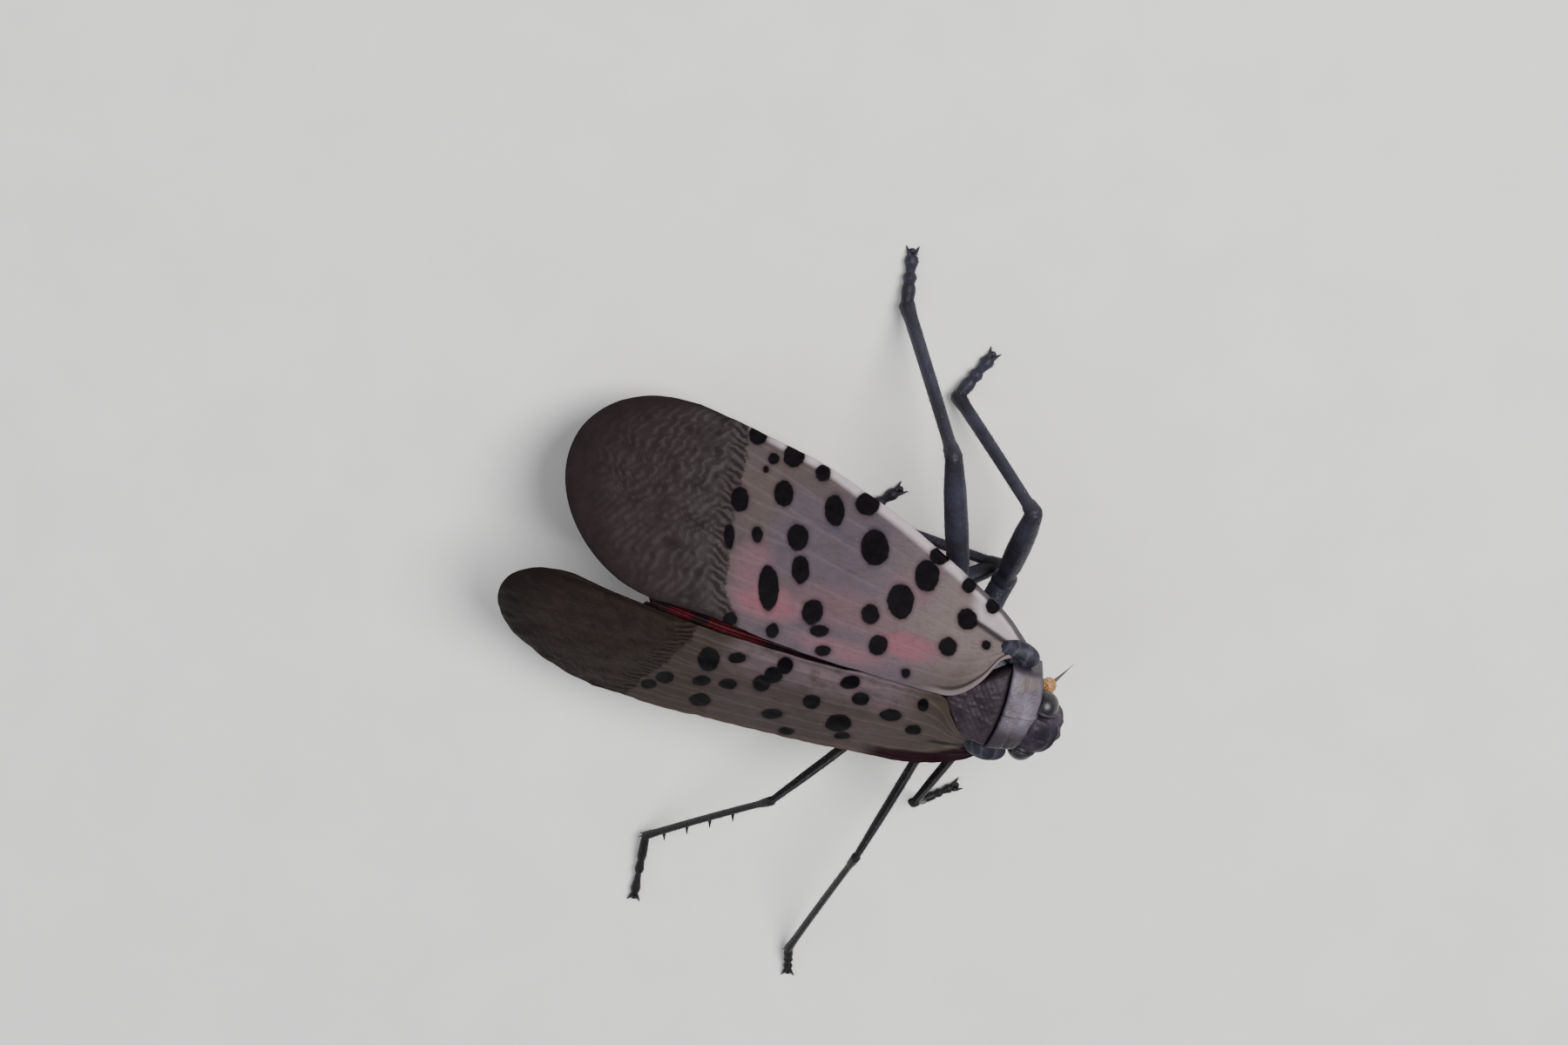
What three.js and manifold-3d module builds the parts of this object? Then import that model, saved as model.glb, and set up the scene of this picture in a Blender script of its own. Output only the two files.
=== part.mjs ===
// A spotted lanternfly at rest, life size, as a still museum model.
// Millimetres, +Z up, head towards -Y, the animal's left side towards +X.
// Sizes are laid out from the rear tip of the shield behind the neck, at x = 0, y = 0,
// and the model stands on its feet at z = 0.

import * as THREE from 'three';
import Module from 'manifold-3d';

const wasm = await Module();
wasm.setup();

// Driving dimensions

const GAP = 0.3;
const FLOOR = 0;

// Torso: the rear tip of the shield behind the neck is at y = 0
const TORSO = {
  front: -3.7, rear: 1.7, middleZ: 5.5, halfWidth: 2.2, up: 1.75, down: 2.25,
  box: 2.5, bluntness: 3.2, neckNarrowing: 0.22,
};
// The two plates are cut from a shell over the torso; above every part of it is over its top
const SHELL = { thickness: 0.65, sides: 40, rows: 20, above: 12 };
const PRONOTUM = { halfWidth: 1.85, front: -3.9, rear: -2.4, sag: 0.9, frontBow: 0.54, lowest: 6.4 };
// The shield's right side is round; the left wing's edge keeps its left side straighter
const SHIELD = {
  halfWidth: 1.75, front: -2.1, apex: 0.15, lowest: 6.4, extraThickness: 0.1,
  roundness: { left: 1.25, right: 2.2 },
};

// Head: turned a little to the animal's right and rolled, as it is held
const HEAD = {
  yaw: -7, roll: 11, neck: [0, -3.4, 6.4], shift: [-0.5, 0.2, -0.05], box: 2.6, sides: 28,
};
const FACE_KEELS = { height: 0.1, halfWidth: 12, places: [-90, -52, -128] };
const EYE = { place: [1.22, -4.15, 6.72], radii: [0.58, 0.6, 0.68] };
const ANTENNA = { place: [1.5, -4.1, 5.6], bulb: 0.36, stalk: 0.26, bristle: 1.0 };
// Beak: from under the face, back between the legs
const ROSTRUM = { root: [0, -3.85, 4.3], bend: [-0.1, -3.0, 2.75], tip: [0, 2.2, 2.45] };

// Abdomen
const ABDOMEN = {
  front: 1.2, rear: 11.2, segments: 7, halfWidth: 2.2, up: 1.55, down: 1.45, middleZ: 4.8,
  droop: 0.5, lift: 0.1, sides: 24,
};

// Wings: along is measured back from the shield's tip, across from the ridge
const WING = {
  thickness: 0.5, vein: 0.2, slopeAtRidge: 33, slopeAtEdge: 47, span: 9.4, ridgeRounding: 2,
};
const TEGULA = { along: -2.4, across: 2.75, lift: 0.1, radii: [0.55, 0.75, 0.42] };
const RIDGE_HEIGHT = [[-4, 8.1], [0, 8.5], [3, 8.85], [6, 9.15], [10, 9.1], [14, 8.6], [20, 7.7]];
const FOREWINGS = {
  left: {
    side: 1,
    inner: [[-1.9, 2.2], [-1.0, 1.4], [0.1, 0.6], [2, 0.28], [7, 0.26], [11, 0.28], [13.3, 0.3]],
    costal: [[-2.4, 3.2], [-1.2, 4.4], [0.5, 5.35], [3.4, 6.85], [6.1, 8.0], [9, 8.8], [13.8, 9.35]],
    bulge: 5.1,
  },
  right: {
    side: -1,
    inner: [[-1.9, 2.4], [-1.0, 1.95], [0.1, 0.75], [2, 0.28], [7, 0.26], [12, 0.22], [16.9, -0.1]],
    costal: [[-2.4, 3.2], [-1.2, 4.4], [0.5, 5.3], [3.2, 6.3], [6.5, 7.1], [10, 7.65], [14.4, 8.45]],
    bulge: 3.85,
  },
};
const HINDWINGS = {
  left: {
    side: 1,
    inner: [[0.6, 1.3], [3, 0.36], [8, 0.34], [12.2, 0.34]],
    costal: [[-0.2, 2.9], [2, 4.3], [5, 5.6], [8.5, 6.6], [11, 6.9]],
    bulge: 1.6,
  },
  right: {
    side: -1,
    inner: [[0.6, 1.3], [3, 0.36], [8, 0.34], [12.2, 0.34]],
    costal: [[-0.2, 2.9], [2, 4.3], [5, 5.4], [8.5, 6.1], [11, 6.3]],
    bulge: 1.6,
  },
};
const FOREWING_GRID = { rows: 34, columns: 15, veins: [2, 4, 6, 8, 10, 12, 14] };
const HINDWING_GRID = { rows: 20, columns: 10, veins: [2, 4, 6, 8] };
// How far the hindwings lie under the forewings' roof
const HINDWING_DEPTH = WING.thickness + WING.vein + GAP + 0.02;

// Legs: hip inside the torso, then the joints out to the claws
const LEG_SIZES = {
  coxa: 0.55, trochanter: 0.36, femur: 0.43, tibia: 0.27, tarsus: 0.27, claw: 0.2, clawTip: 0.12, sides: 8,
};
const CLAW = { apart: 0.12, ahead: 0.05, spread: 0.2, reach: 0.42, sides: 6 };
const TARSUS_JOINTS = [
  { from: 0, to: 0.42, start: 1, end: 1.02 },
  { from: 0.46, to: 0.66, start: 0.95, end: 1.08 },
  { from: 0.7, to: 1, start: 0.9, end: 1.15 },
];
const LEGS = {
  leg_fore_left: {
    hip: [0.95, -2.0, 3.9], trochanter: [2.4, -1.3, 3.0], knee: [8.2, -0.98, 5.6],
    ankle: [10.4, 3.29, 0.6], foot: [12.3, 2.52, 0.2],
  },
  leg_mid_left: {
    hip: [1.05, -0.4, 3.9], trochanter: [2.75, 0.55, 3.5], knee: [9.75, 3.15, 6.2],
    ankle: [13.65, 6.7, 0.6], foot: [15.65, 7.15, 0.2],
  },
  leg_hind_left: {
    hip: [1.0, 1.0, 3.9], trochanter: [2.0, 1.75, 2.2], knee: [4.0, -0.75, 1.8],
    ankle: [3.75, 5.6, 0.6], foot: [5.1, 4.42, 0.2],
  },
  leg_fore_right: {
    hip: [-0.95, -2.0, 3.9], trochanter: [-2.4, -2.3, 3.3], knee: [-6.2, -0.35, 5.9],
    ankle: [-8.3, -1.3, 0.6], foot: [-7.5, -2.35, 0.2],
  },
  leg_mid_right: {
    hip: [-1.05, -0.4, 3.9], trochanter: [-2.6, -0.7, 2.7], knee: [-9.75, 1.15, 5.4],
    ankle: [-17.2, 2.05, 0.6], foot: [-18.3, 1.75, 0.2],
  },
  leg_hind_right: {
    hip: [-1.0, 1.0, 3.9], trochanter: [-2.7, 0.95, 2.6], knee: [-8.35, 5.5, 5.5],
    ankle: [-14.0, 9.8, 0.6], foot: [-17.0, 9.4, 0.2],
  },
};

// Small helpers

const radians = (degrees) => (degrees * Math.PI) / 180;
const mix = (a, b, t) => a + (b - a) * t;
const smooth = (t) => t * t * (3 - 2 * t);
// A circle's sine or cosine pushed out towards a rounded box
const boxed = (value, power) => Math.sign(value) * Math.abs(value) ** (2 / power);
const vector = ([x, y, z]) => new THREE.Vector3(x, y, z);
const evenly = (count, low, high) => (
  Array.from({ length: count }, (unused, i) => mix(low, high, i / (count - 1)))
);

function interpolate(table, x) {
  if (x <= table[0][0]) return table[0][1];
  for (let i = 1; i < table.length; i += 1) {
    const [x0, y0] = table[i - 1];
    const [x1, y1] = table[i];
    if (x <= x1) return mix(y0, y1, smooth((x - x0) / (x1 - x0)) * 0.5 + ((x - x0) / (x1 - x0)) * 0.5);
  }
  return table[table.length - 1][1];
}

function signedVolume(points, faces) {
  let sum = 0;
  for (const [a, b, c] of faces) {
    sum += points[a].dot(new THREE.Vector3().crossVectors(points[b], points[c]));
  }
  return sum / 6;
}

// A solid from points and faces, turned so that its faces point out
function solid(points, faces) {
  const outward = signedVolume(points, faces) < 0 ? faces.map(([a, b, c]) => [a, c, b]) : faces;
  return new wasm.Manifold(new wasm.Mesh({
    numProp: 3,
    vertProperties: new Float32Array(points.flatMap((p) => [p.x, p.y, p.z])),
    triVerts: new Uint32Array(outward.flat()),
  }));
}

function largest(body) {
  const pieces = body.decompose();
  return pieces.reduce((best, piece) => (piece.volume() > best.volume() ? piece : best));
}

// A skin over closed rings of equal count, with a point closing each end
function loft(rings) {
  const sides = rings[0].length;
  const points = rings.flat();
  const faces = [];
  for (let ring = 0; ring + 1 < rings.length; ring += 1) {
    for (let side = 0; side < sides; side += 1) {
      const a = ring * sides + side;
      const b = ring * sides + ((side + 1) % sides);
      faces.push([a, b, a + sides], [b, b + sides, a + sides]);
    }
  }
  for (const [ring, flip] of [[0, true], [rings.length - 1, false]]) {
    const middle = new THREE.Vector3();
    rings[ring].forEach((p) => middle.addScaledVector(p, 1 / sides));
    points.push(middle);
    for (let side = 0; side < sides; side += 1) {
      const a = ring * sides + side;
      const b = ring * sides + ((side + 1) % sides);
      faces.push(flip ? [b, a, points.length - 1] : [a, b, points.length - 1]);
    }
  }
  return solid(points, faces);
}

function ellipsoid(centre, radii, sides = 14, rows = 8) {
  const rings = [];
  for (let row = 1; row < rows; row += 1) {
    const polar = (Math.PI * row) / rows;
    const ring = [];
    for (let side = 0; side < sides; side += 1) {
      const turn = (2 * Math.PI * side) / sides;
      ring.push(new THREE.Vector3(
        centre[0] + radii[0] * Math.sin(polar) * Math.cos(turn),
        centre[1] + radii[1] * Math.sin(polar) * Math.sin(turn),
        centre[2] + radii[2] * Math.cos(polar),
      ));
    }
    rings.push(ring);
  }
  return loft(rings);
}

// A straight rounded limb piece: radii along it, from start to end
function limb(start, end, radii, sides = LEG_SIZES.sides) {
  const from = vector(start);
  const to = vector(end);
  const axis = to.clone().sub(from).normalize();
  const helper = Math.abs(axis.z) > 0.9 ? new THREE.Vector3(0, 1, 0) : new THREE.Vector3(0, 0, 1);
  const across = new THREE.Vector3().crossVectors(axis, helper).normalize();
  const up = new THREE.Vector3().crossVectors(across, axis);
  const ringAt = (centre, radius) => Array.from({ length: sides }, (unused, side) => {
    const turn = (2 * Math.PI * side) / sides;
    return centre.clone()
      .addScaledVector(across, radius * Math.cos(turn))
      .addScaledVector(up, radius * Math.sin(turn));
  });
  const rings = radii.map((radius, index) => {
    const centre = from.clone().lerp(to, index / (radii.length - 1));
    return ringAt(centre, radius);
  });
  const first = radii[0];
  const last = radii[radii.length - 1];
  rings.unshift(ringAt(from.clone().addScaledVector(axis, -0.6 * first), 0.6 * first));
  rings.push(ringAt(to.clone().addScaledVector(axis, 0.6 * last), 0.6 * last));
  return loft(rings);
}

function box(low, high) {
  const corner = (i) => new THREE.Vector3(
    i & 1 ? high[0] : low[0],
    i & 2 ? high[1] : low[1],
    i & 4 ? high[2] : low[2],
  );
  const points = Array.from({ length: 8 }, (unused, i) => corner(i));
  const quads = [[0, 2, 3, 1], [4, 5, 7, 6], [0, 1, 5, 4], [2, 6, 7, 3], [0, 4, 6, 2], [1, 3, 7, 5]];
  return solid(points, quads.flatMap(([a, b, c, d]) => [[a, b, c], [a, c, d]]));
}

// A prism over a plan outline of [x, y] pairs
function prism(outline, low, high) {
  const count = outline.length;
  const middle = outline.reduce(([sx, sy], [x, y]) => [sx + x / count, sy + y / count], [0, 0]);
  const points = [];
  for (const z of [low, high]) {
    outline.forEach(([x, y]) => points.push(new THREE.Vector3(x, y, z)));
    points.push(new THREE.Vector3(middle[0], middle[1], z));
  }
  const faces = [];
  const upper = count + 1;
  for (let i = 0; i < count; i += 1) {
    const j = (i + 1) % count;
    faces.push([i, j, i + upper], [j, j + upper, i + upper]);
    faces.push([j, i, count], [i + upper, j + upper, count + upper]);
  }
  return solid(points, faces);
}

// Torso: thorax, pronotum and the shield behind it

function torsoRing(y, grow, sides) {
  const along = (y - (TORSO.front + TORSO.rear) / 2) / ((TORSO.rear - TORSO.front) / 2 + grow);
  const swell = Math.sqrt(Math.max(0.0001, 1 - Math.abs(along) ** TORSO.bluntness));
  const narrow = 1 - TORSO.neckNarrowing * Math.max(0, -along);
  return Array.from({ length: sides }, (unused, side) => {
    const turn = (2 * Math.PI * side) / sides;
    const height = Math.sin(turn) > 0 ? TORSO.up : TORSO.down;
    return new THREE.Vector3(
      (TORSO.halfWidth * narrow + grow) * swell * boxed(Math.cos(turn), TORSO.box),
      y,
      TORSO.middleZ + (height + grow) * swell * boxed(Math.sin(turn), TORSO.box),
    );
  });
}

function torso(grow = 0, sides = 28, rows = 14) {
  const front = TORSO.front - grow;
  const rear = TORSO.rear + grow;
  const rings = [];
  for (let row = 1; row < rows; row += 1) {
    const y = mix(front, rear, (1 - Math.cos((Math.PI * row) / rows)) / 2);
    rings.push(torsoRing(y, grow, sides));
  }
  return loft(rings);
}

// The plan curve where pronotum and shield meet, bowed towards the head
const collar = (x, y) => y - PRONOTUM.sag * Math.cos((Math.PI * x) / (2 * PRONOTUM.halfWidth)) * 0.5;

const collarLine = (halfWidth, y) => evenly(13, -halfWidth, halfWidth).map((x) => [x, collar(x, y)]);

// The torso grown by a distance, with a surface fine enough for the plates
const fineTorso = (grow) => torso(grow, SHELL.sides, SHELL.rows);
const pronotumTop = GAP + SHELL.thickness;
const shieldTop = pronotumTop + SHIELD.extraThickness;

function pronotum() {
  const wide = PRONOTUM.halfWidth;
  const rearEdge = collarLine(wide, PRONOTUM.rear);
  const frontEdge = evenly(13, wide, -wide).map((x) => [
    x, PRONOTUM.front + PRONOTUM.frontBow * (x / wide) ** 2,
  ]);
  const plan = prism([...rearEdge, ...frontEdge], PRONOTUM.lowest, SHELL.above);
  return largest(fineTorso(pronotumTop).intersect(plan).subtract(fineTorso(GAP)));
}

// The shield's plan seen from above, grown outwards by a clearance
function shieldOutline(clear) {
  const sideEdge = (side, roundness) => evenly(6, 0.12, 0.94).map((t) => [
    side * (SHIELD.halfWidth * (1 - t ** roundness) + clear), mix(SHIELD.front, SHIELD.apex, t),
  ]);
  const frontEdge = collarLine(SHIELD.halfWidth + clear, PRONOTUM.rear + GAP - clear).reverse();
  const { left, right } = SHIELD.roundness;
  return [...frontEdge, ...sideEdge(-1, right), [0, SHIELD.apex + clear], ...sideEdge(1, left).reverse()];
}

function shield() {
  const plan = prism(shieldOutline(0), SHIELD.lowest, SHELL.above);
  return largest(fineTorso(shieldTop).intersect(plan).subtract(fineTorso(GAP)));
}

// The room that the two plates keep free round themselves
const pronotumClear = fineTorso(pronotumTop + GAP).intersect(box(
  [-PRONOTUM.halfWidth - GAP, PRONOTUM.front - GAP, PRONOTUM.lowest - GAP],
  [PRONOTUM.halfWidth + GAP, PRONOTUM.rear + GAP, SHELL.above],
));
const shieldClear = fineTorso(shieldTop + GAP).intersect(
  prism(shieldOutline(GAP * 1.5), SHIELD.lowest - GAP, SHELL.above),
);

// Head, with its parts turned together about the neck

const headTurn = new THREE.Matrix4()
  .makeTranslation(...HEAD.neck.map((place, axis) => place + HEAD.shift[axis]))
  .multiply(new THREE.Matrix4().makeRotationZ(radians(HEAD.yaw)))
  .multiply(new THREE.Matrix4().makeRotationY(radians(-HEAD.roll)))
  .multiply(new THREE.Matrix4().makeTranslation(-HEAD.neck[0], -HEAD.neck[1], -HEAD.neck[2]));

const turned = (body) => body.transform(headTurn.elements.slice());
const turnedPoint = (place) => vector(place).applyMatrix4(headTurn).toArray();

// Half the width of a box that holds the whole head
const HEAD_ROOM = 4;

// Height, half width, half depth and middle y of the head's level sections
const HEAD_SECTIONS = [
  [7.62, 0.6, 0.35, -4.15], [7.45, 0.85, 0.7, -4.2], [7.1, 0.95, 0.95, -4.3], [6.6, 0.98, 1.05, -4.35],
  [6.0, 1.02, 1.02, -4.3], [5.5, 0.98, 0.88, -4.22], [5.0, 0.78, 0.7, -4.1], [4.55, 0.55, 0.52, -3.95],
  [4.25, 0.34, 0.34, -3.85],
];

function headShape(grow = 0) {
  const { sides, box: power } = HEAD;
  const rings = HEAD_SECTIONS.map(([z, halfWidth, halfDepth, middleY], row) => {
    const end = row === 0 ? grow : 0;
    const foot = row === HEAD_SECTIONS.length - 1 ? grow : 0;
    return Array.from({ length: sides }, (unused, side) => {
      const degrees = (360 * side) / sides;
      const turn = radians(degrees);
      const away = FACE_KEELS.places.map((place) => Math.abs(((degrees - place + 540) % 360) - 180));
      const onFace = row > 0 && row < HEAD_SECTIONS.length - 2;
      const nearness = Math.max(0, 1 - Math.min(...away) / FACE_KEELS.halfWidth);
      const keel = onFace ? FACE_KEELS.height * nearness : 0;
      const flat = (Math.abs(Math.cos(turn)) ** power + Math.abs(Math.sin(turn)) ** power) ** (-1 / power);
      return new THREE.Vector3(
        (halfWidth + grow + keel) * flat * Math.cos(turn),
        middleY + (halfDepth + grow + keel) * flat * Math.sin(turn),
        z + end - foot,
      );
    });
  });
  return loft(rings);
}

function head() {
  const [, neckY, neckZ] = HEAD.neck;
  const aboveNeck = box([-HEAD_ROOM, neckY - HEAD_ROOM, neckZ - 0.8], [HEAD_ROOM, 0, SHELL.above]);
  const neckCut = fineTorso(GAP).add(fineTorso(pronotumTop + GAP).intersect(aboveNeck));
  return largest(turned(headShape()).subtract(neckCut));
}

function eyeBall(side, grow = 0) {
  const [x, y, z] = EYE.place;
  return ellipsoid([side * x, y, z], EYE.radii.map((radius) => radius + grow), 16, 10);
}

function eye(side) {
  const ball = eyeBall(side);
  return largest(turned(ball.subtract(headShape(GAP))).subtract(pronotumClear));
}

function antenna(side) {
  const [x, y, z] = ANTENNA.place;
  const bulb = ellipsoid([side * x, y, z], [ANTENNA.bulb, ANTENNA.bulb * 0.95, ANTENNA.bulb * 1.1], 12, 8);
  const { stalk: thick } = ANTENNA;
  const stalk = limb([side * (x - 0.75), y + 0.1, z + 0.05], [side * x, y, z], [thick, thick]);
  const { bristle: reach } = ANTENNA;
  const tip = [side * (x + reach * 0.45), y - reach * 0.5, z - reach * 0.75];
  const bristle = limb([side * x, y, z - 0.1], tip, [thick, thick * 0.6, thick * 0.3], 6);
  const free = bulb.add(stalk).add(bristle).subtract(headShape(GAP)).subtract(eyeBall(side, GAP));
  return largest(turned(free).subtract(pronotumClear));
}

function rostrum() {
  const { bend, tip } = ROSTRUM;
  const root = turnedPoint(ROSTRUM.root);
  const shape = limb(root, bend, [0.34, 0.3], 8).add(limb(bend, tip, [0.32, 0.3, 0.27, 0.2], 8));
  return largest(shape.subtract(turned(headShape(GAP))).subtract(torso(GAP)));
}

// Abdomen: overlapping rings that narrow to the rear

function abdomen(grow = 0) {
  const { sides } = ABDOMEN;
  const rings = [];
  const length = ABDOMEN.rear - ABDOMEN.front;
  const ringAt = (t, lift) => {
    const swell = Math.sin(Math.PI * (0.16 + 0.8 * t)) ** 0.62;
    return Array.from({ length: sides }, (unused, side) => {
      const turn = (2 * Math.PI * side) / sides;
      const height = Math.sin(turn) > 0 ? ABDOMEN.up : ABDOMEN.down;
      return new THREE.Vector3(
        (ABDOMEN.halfWidth * swell + lift + grow) * Math.cos(turn),
        ABDOMEN.front + length * t,
        ABDOMEN.middleZ - ABDOMEN.droop * t + (height * swell + lift + grow) * Math.sin(turn),
      );
    });
  };
  for (let segment = 0; segment < ABDOMEN.segments; segment += 1) {
    const start = segment / ABDOMEN.segments;
    const width = 1 / ABDOMEN.segments;
    rings.push(ringAt(start + 0.06 * width, 0));
    rings.push(ringAt(start + 0.9 * width, ABDOMEN.lift));
  }
  rings.push(ringAt(0.995, -0.35));
  return largest(loft(rings).subtract(torso(GAP)));
}

// Wings: one roof surface, and panes laid on it at a set depth

function roofPoint(along, across, side) {
  const bend = radians(WING.slopeAtEdge - WING.slopeAtRidge) / WING.span;
  const start = radians(WING.slopeAtRidge);
  const turn = start + bend * across;
  return new THREE.Vector3(
    side * ((Math.sin(turn) - Math.sin(start)) / bend),
    along,
    interpolate(RIDGE_HEIGHT, along) + (Math.cos(turn) - Math.cos(start)) / bend,
  );
}

function roofNormal(along, across, side) {
  const step = 0.02;
  const back = roofPoint(along + step, across, side).sub(roofPoint(along - step, across, side));
  const down = roofPoint(along, across + step, side).sub(roofPoint(along, across - step, side));
  const normal = new THREE.Vector3().crossVectors(back, down).normalize();
  if (normal.z < 0) normal.negate();
  const tilt = Math.min(1, Math.max(0, across) / WING.ridgeRounding);
  return new THREE.Vector3(0, 0, 1).lerp(normal, tilt).normalize();
}

const planCurve = (pairs) => new THREE.SplineCurve(pairs.map(([a, b]) => new THREE.Vector2(a, b)));

function wingPane(plan, grid, depth) {
  const innerEdge = planCurve(plan.inner);
  const costalEdge = planCurve(plan.costal);
  const sheet = (level, vein) => {
    const points = [];
    for (let row = 0; row <= grid.rows; row += 1) {
      const s = row / grid.rows;
      const inner = innerEdge.getPointAt(s);
      const costal = costalEdge.getPointAt(s);
      for (let column = 0; column <= grid.columns; column += 1) {
        const t = column / grid.columns;
        const round = s * s;
        const f = mix(t, (1 - Math.cos(Math.PI * t)) / 2, round);
        const along = mix(inner.x, costal.x, f) + plan.bulge * round * Math.sin(Math.PI * t);
        const across = mix(inner.y, costal.y, f);
        const raised = grid.veins.includes(column) && row < grid.rows;
        const ridge = raised ? vein * Math.min(1, row / 8) : 0;
        const normal = roofNormal(along, across, plan.side);
        points.push(roofPoint(along, across, plan.side).addScaledVector(normal, level + ridge - depth));
      }
    }
    return points;
  };
  const upper = sheet(WING.thickness / 2, WING.vein);
  const lower = sheet(-WING.thickness / 2, 0);
  const wide = grid.columns + 1;
  const faces = [];
  for (let row = 0; row < grid.rows; row += 1) {
    for (let column = 0; column < grid.columns; column += 1) {
      const a = row * wide + column;
      const b = a + upper.length;
      faces.push([a, a + 1, a + wide], [a + 1, a + wide + 1, a + wide]);
      faces.push([b + 1, b, b + wide], [b + wide + 1, b + 1, b + wide]);
    }
  }
  const last = grid.rows * wide;
  const rim = [
    ...Array.from({ length: wide }, (unused, i) => i),
    ...Array.from({ length: grid.rows }, (unused, i) => (i + 1) * wide + grid.columns),
    ...Array.from({ length: grid.columns }, (unused, i) => last + grid.columns - 1 - i),
    ...Array.from({ length: grid.rows - 1 }, (unused, i) => last - (i + 1) * wide),
  ];
  rim.forEach((a, i) => {
    const b = rim[(i + 1) % rim.length];
    faces.push([b, a, a + upper.length], [b, a + upper.length, b + upper.length]);
  });
  return solid([...upper, ...lower], faces);
}

function tegulaCap(side, grow = 0) {
  const { x, y, z } = roofPoint(TEGULA.along, TEGULA.across, side);
  return ellipsoid([x, y, z + TEGULA.lift], TEGULA.radii.map((radius) => radius + grow));
}

function tegula(side) {
  const cap = tegulaCap(side).subtract(fineTorso(GAP));
  return largest(cap.subtract(pronotumClear).subtract(shieldClear));
}

function forewing(plan) {
  const pane = wingPane(plan, FOREWING_GRID, 0).subtract(torso(GAP));
  const clear = pronotumClear.add(shieldClear).add(tegulaCap(plan.side, GAP));
  return largest(pane.subtract(clear));
}

function hindwing(plan) {
  const pane = wingPane(plan, HINDWING_GRID, HINDWING_DEPTH);
  return largest(pane.subtract(torso(GAP)));
}

// Legs: coxa, trochanter, femur, tibia and a three-piece tarsus with claws

// The ground cuts the feet flat, so that the model stands
const GROUND_REACH = 30;
const ground = box([-GROUND_REACH, -GROUND_REACH, FLOOR - GROUND_REACH], [GROUND_REACH, GROUND_REACH, FLOOR]);

function leg(plan) {
  const { coxa, trochanter, femur, tibia, tarsus } = LEG_SIZES;
  const along = (a, b, t) => vector(a).lerp(vector(b), t).toArray();
  const step = (t) => along(plan.ankle, plan.foot, t);
  const pieces = [
    limb(plan.hip, plan.trochanter, [coxa, coxa, trochanter]),
    limb(plan.trochanter, plan.knee, [trochanter, femur, femur * 1.03, femur * 0.95, femur * 0.72]),
    limb(plan.knee, plan.ankle, [tibia * 1.25, tibia, tibia, tibia, tibia * 1.12]),
    ...TARSUS_JOINTS.map((part) => limb(
      step(part.from), step(part.to), [tarsus * part.start, tarsus * part.end],
    )),
  ];
  const forward = vector(plan.foot).sub(vector(plan.ankle)).setZ(0).normalize();
  const across = new THREE.Vector3(-forward.y, forward.x, 0);
  for (const side of [-1, 1]) {
    const start = vector(plan.foot).addScaledVector(across, side * CLAW.apart);
    start.addScaledVector(forward, CLAW.ahead);
    const end = start.clone().addScaledVector(across, side * CLAW.spread);
    end.addScaledVector(forward, CLAW.reach);
    pieces.push(limb(start.toArray(), end.toArray(), [LEG_SIZES.claw, LEG_SIZES.clawTip], CLAW.sides));
  }
  const whole = pieces.reduce((sum, piece) => sum.add(piece));
  return largest(whole.subtract(torso(GAP)).subtract(abdomen(GAP + 0.05)).subtract(ground));
}

// Colours and finish

const finish = (color, roughness, metalness = 0) => new THREE.MeshStandardMaterial({
  color, roughness, metalness,
});
const MATERIALS = {
  cuticle: finish(0x4a4350, 0.5),
  shieldBrown: finish(0x5b4c54, 0.5),
  eyeDark: finish(0x1d1b22, 0.15),
  antennaOrange: finish(0xd8801e, 0.45),
  leg: finish(0x15151d, 0.35),
  forewing: finish(0xa08e84, 0.5),
  hindwing: finish(0xb01d22, 0.5),
  abdomen: finish(0xc9a227, 0.5),
};

const group = new THREE.Group();

function add(name, body, material) {
  const { vertProperties, triVerts, numProp } = body.getMesh();
  const positions = new Float32Array((vertProperties.length / numProp) * 3);
  for (let i = 0; i < positions.length / 3; i += 1) {
    positions.set(vertProperties.subarray(i * numProp, i * numProp + 3), i * 3);
  }
  const geometry = new THREE.BufferGeometry();
  geometry.setAttribute('position', new THREE.BufferAttribute(positions, 3));
  geometry.setIndex(new THREE.BufferAttribute(new Uint32Array(triVerts), 1));
  geometry.computeVertexNormals();
  const mesh = new THREE.Mesh(geometry, material);
  mesh.name = name;
  group.add(mesh);
}

add('thorax', torso(), MATERIALS.cuticle);
add('pronotum', pronotum(), MATERIALS.cuticle);
add('mesonotum', shield(), MATERIALS.shieldBrown);
add('head', head(), MATERIALS.cuticle);
add('rostrum', rostrum(), MATERIALS.cuticle);
add('abdomen', abdomen(), MATERIALS.abdomen);
for (const [name, side] of [['left', 1], ['right', -1]]) {
  add(`eye_${name}`, eye(side), MATERIALS.eyeDark);
  add(`antenna_${name}`, antenna(side), MATERIALS.antennaOrange);
  add(`tegula_${name}`, tegula(side), MATERIALS.shieldBrown);
  add(`forewing_${name}`, forewing(FOREWINGS[name]), MATERIALS.forewing);
  add(`hindwing_${name}`, hindwing(HINDWINGS[name]), MATERIALS.hindwing);
}
for (const [name, plan] of Object.entries(LEGS)) {
  add(name, leg(plan), MATERIALS.leg);
}

// The origin goes under the middle of the whole model's box
const middle = new THREE.Box3().setFromObject(group).getCenter(new THREE.Vector3());
group.position.set(-middle.x, -middle.y, 0);

export default group;
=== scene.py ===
"""A spotted lanternfly at rest: the finished surfaces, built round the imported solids."""

import math

import bmesh
import bpy
import numpy as np
from mathutils import Matrix, Vector


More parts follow.
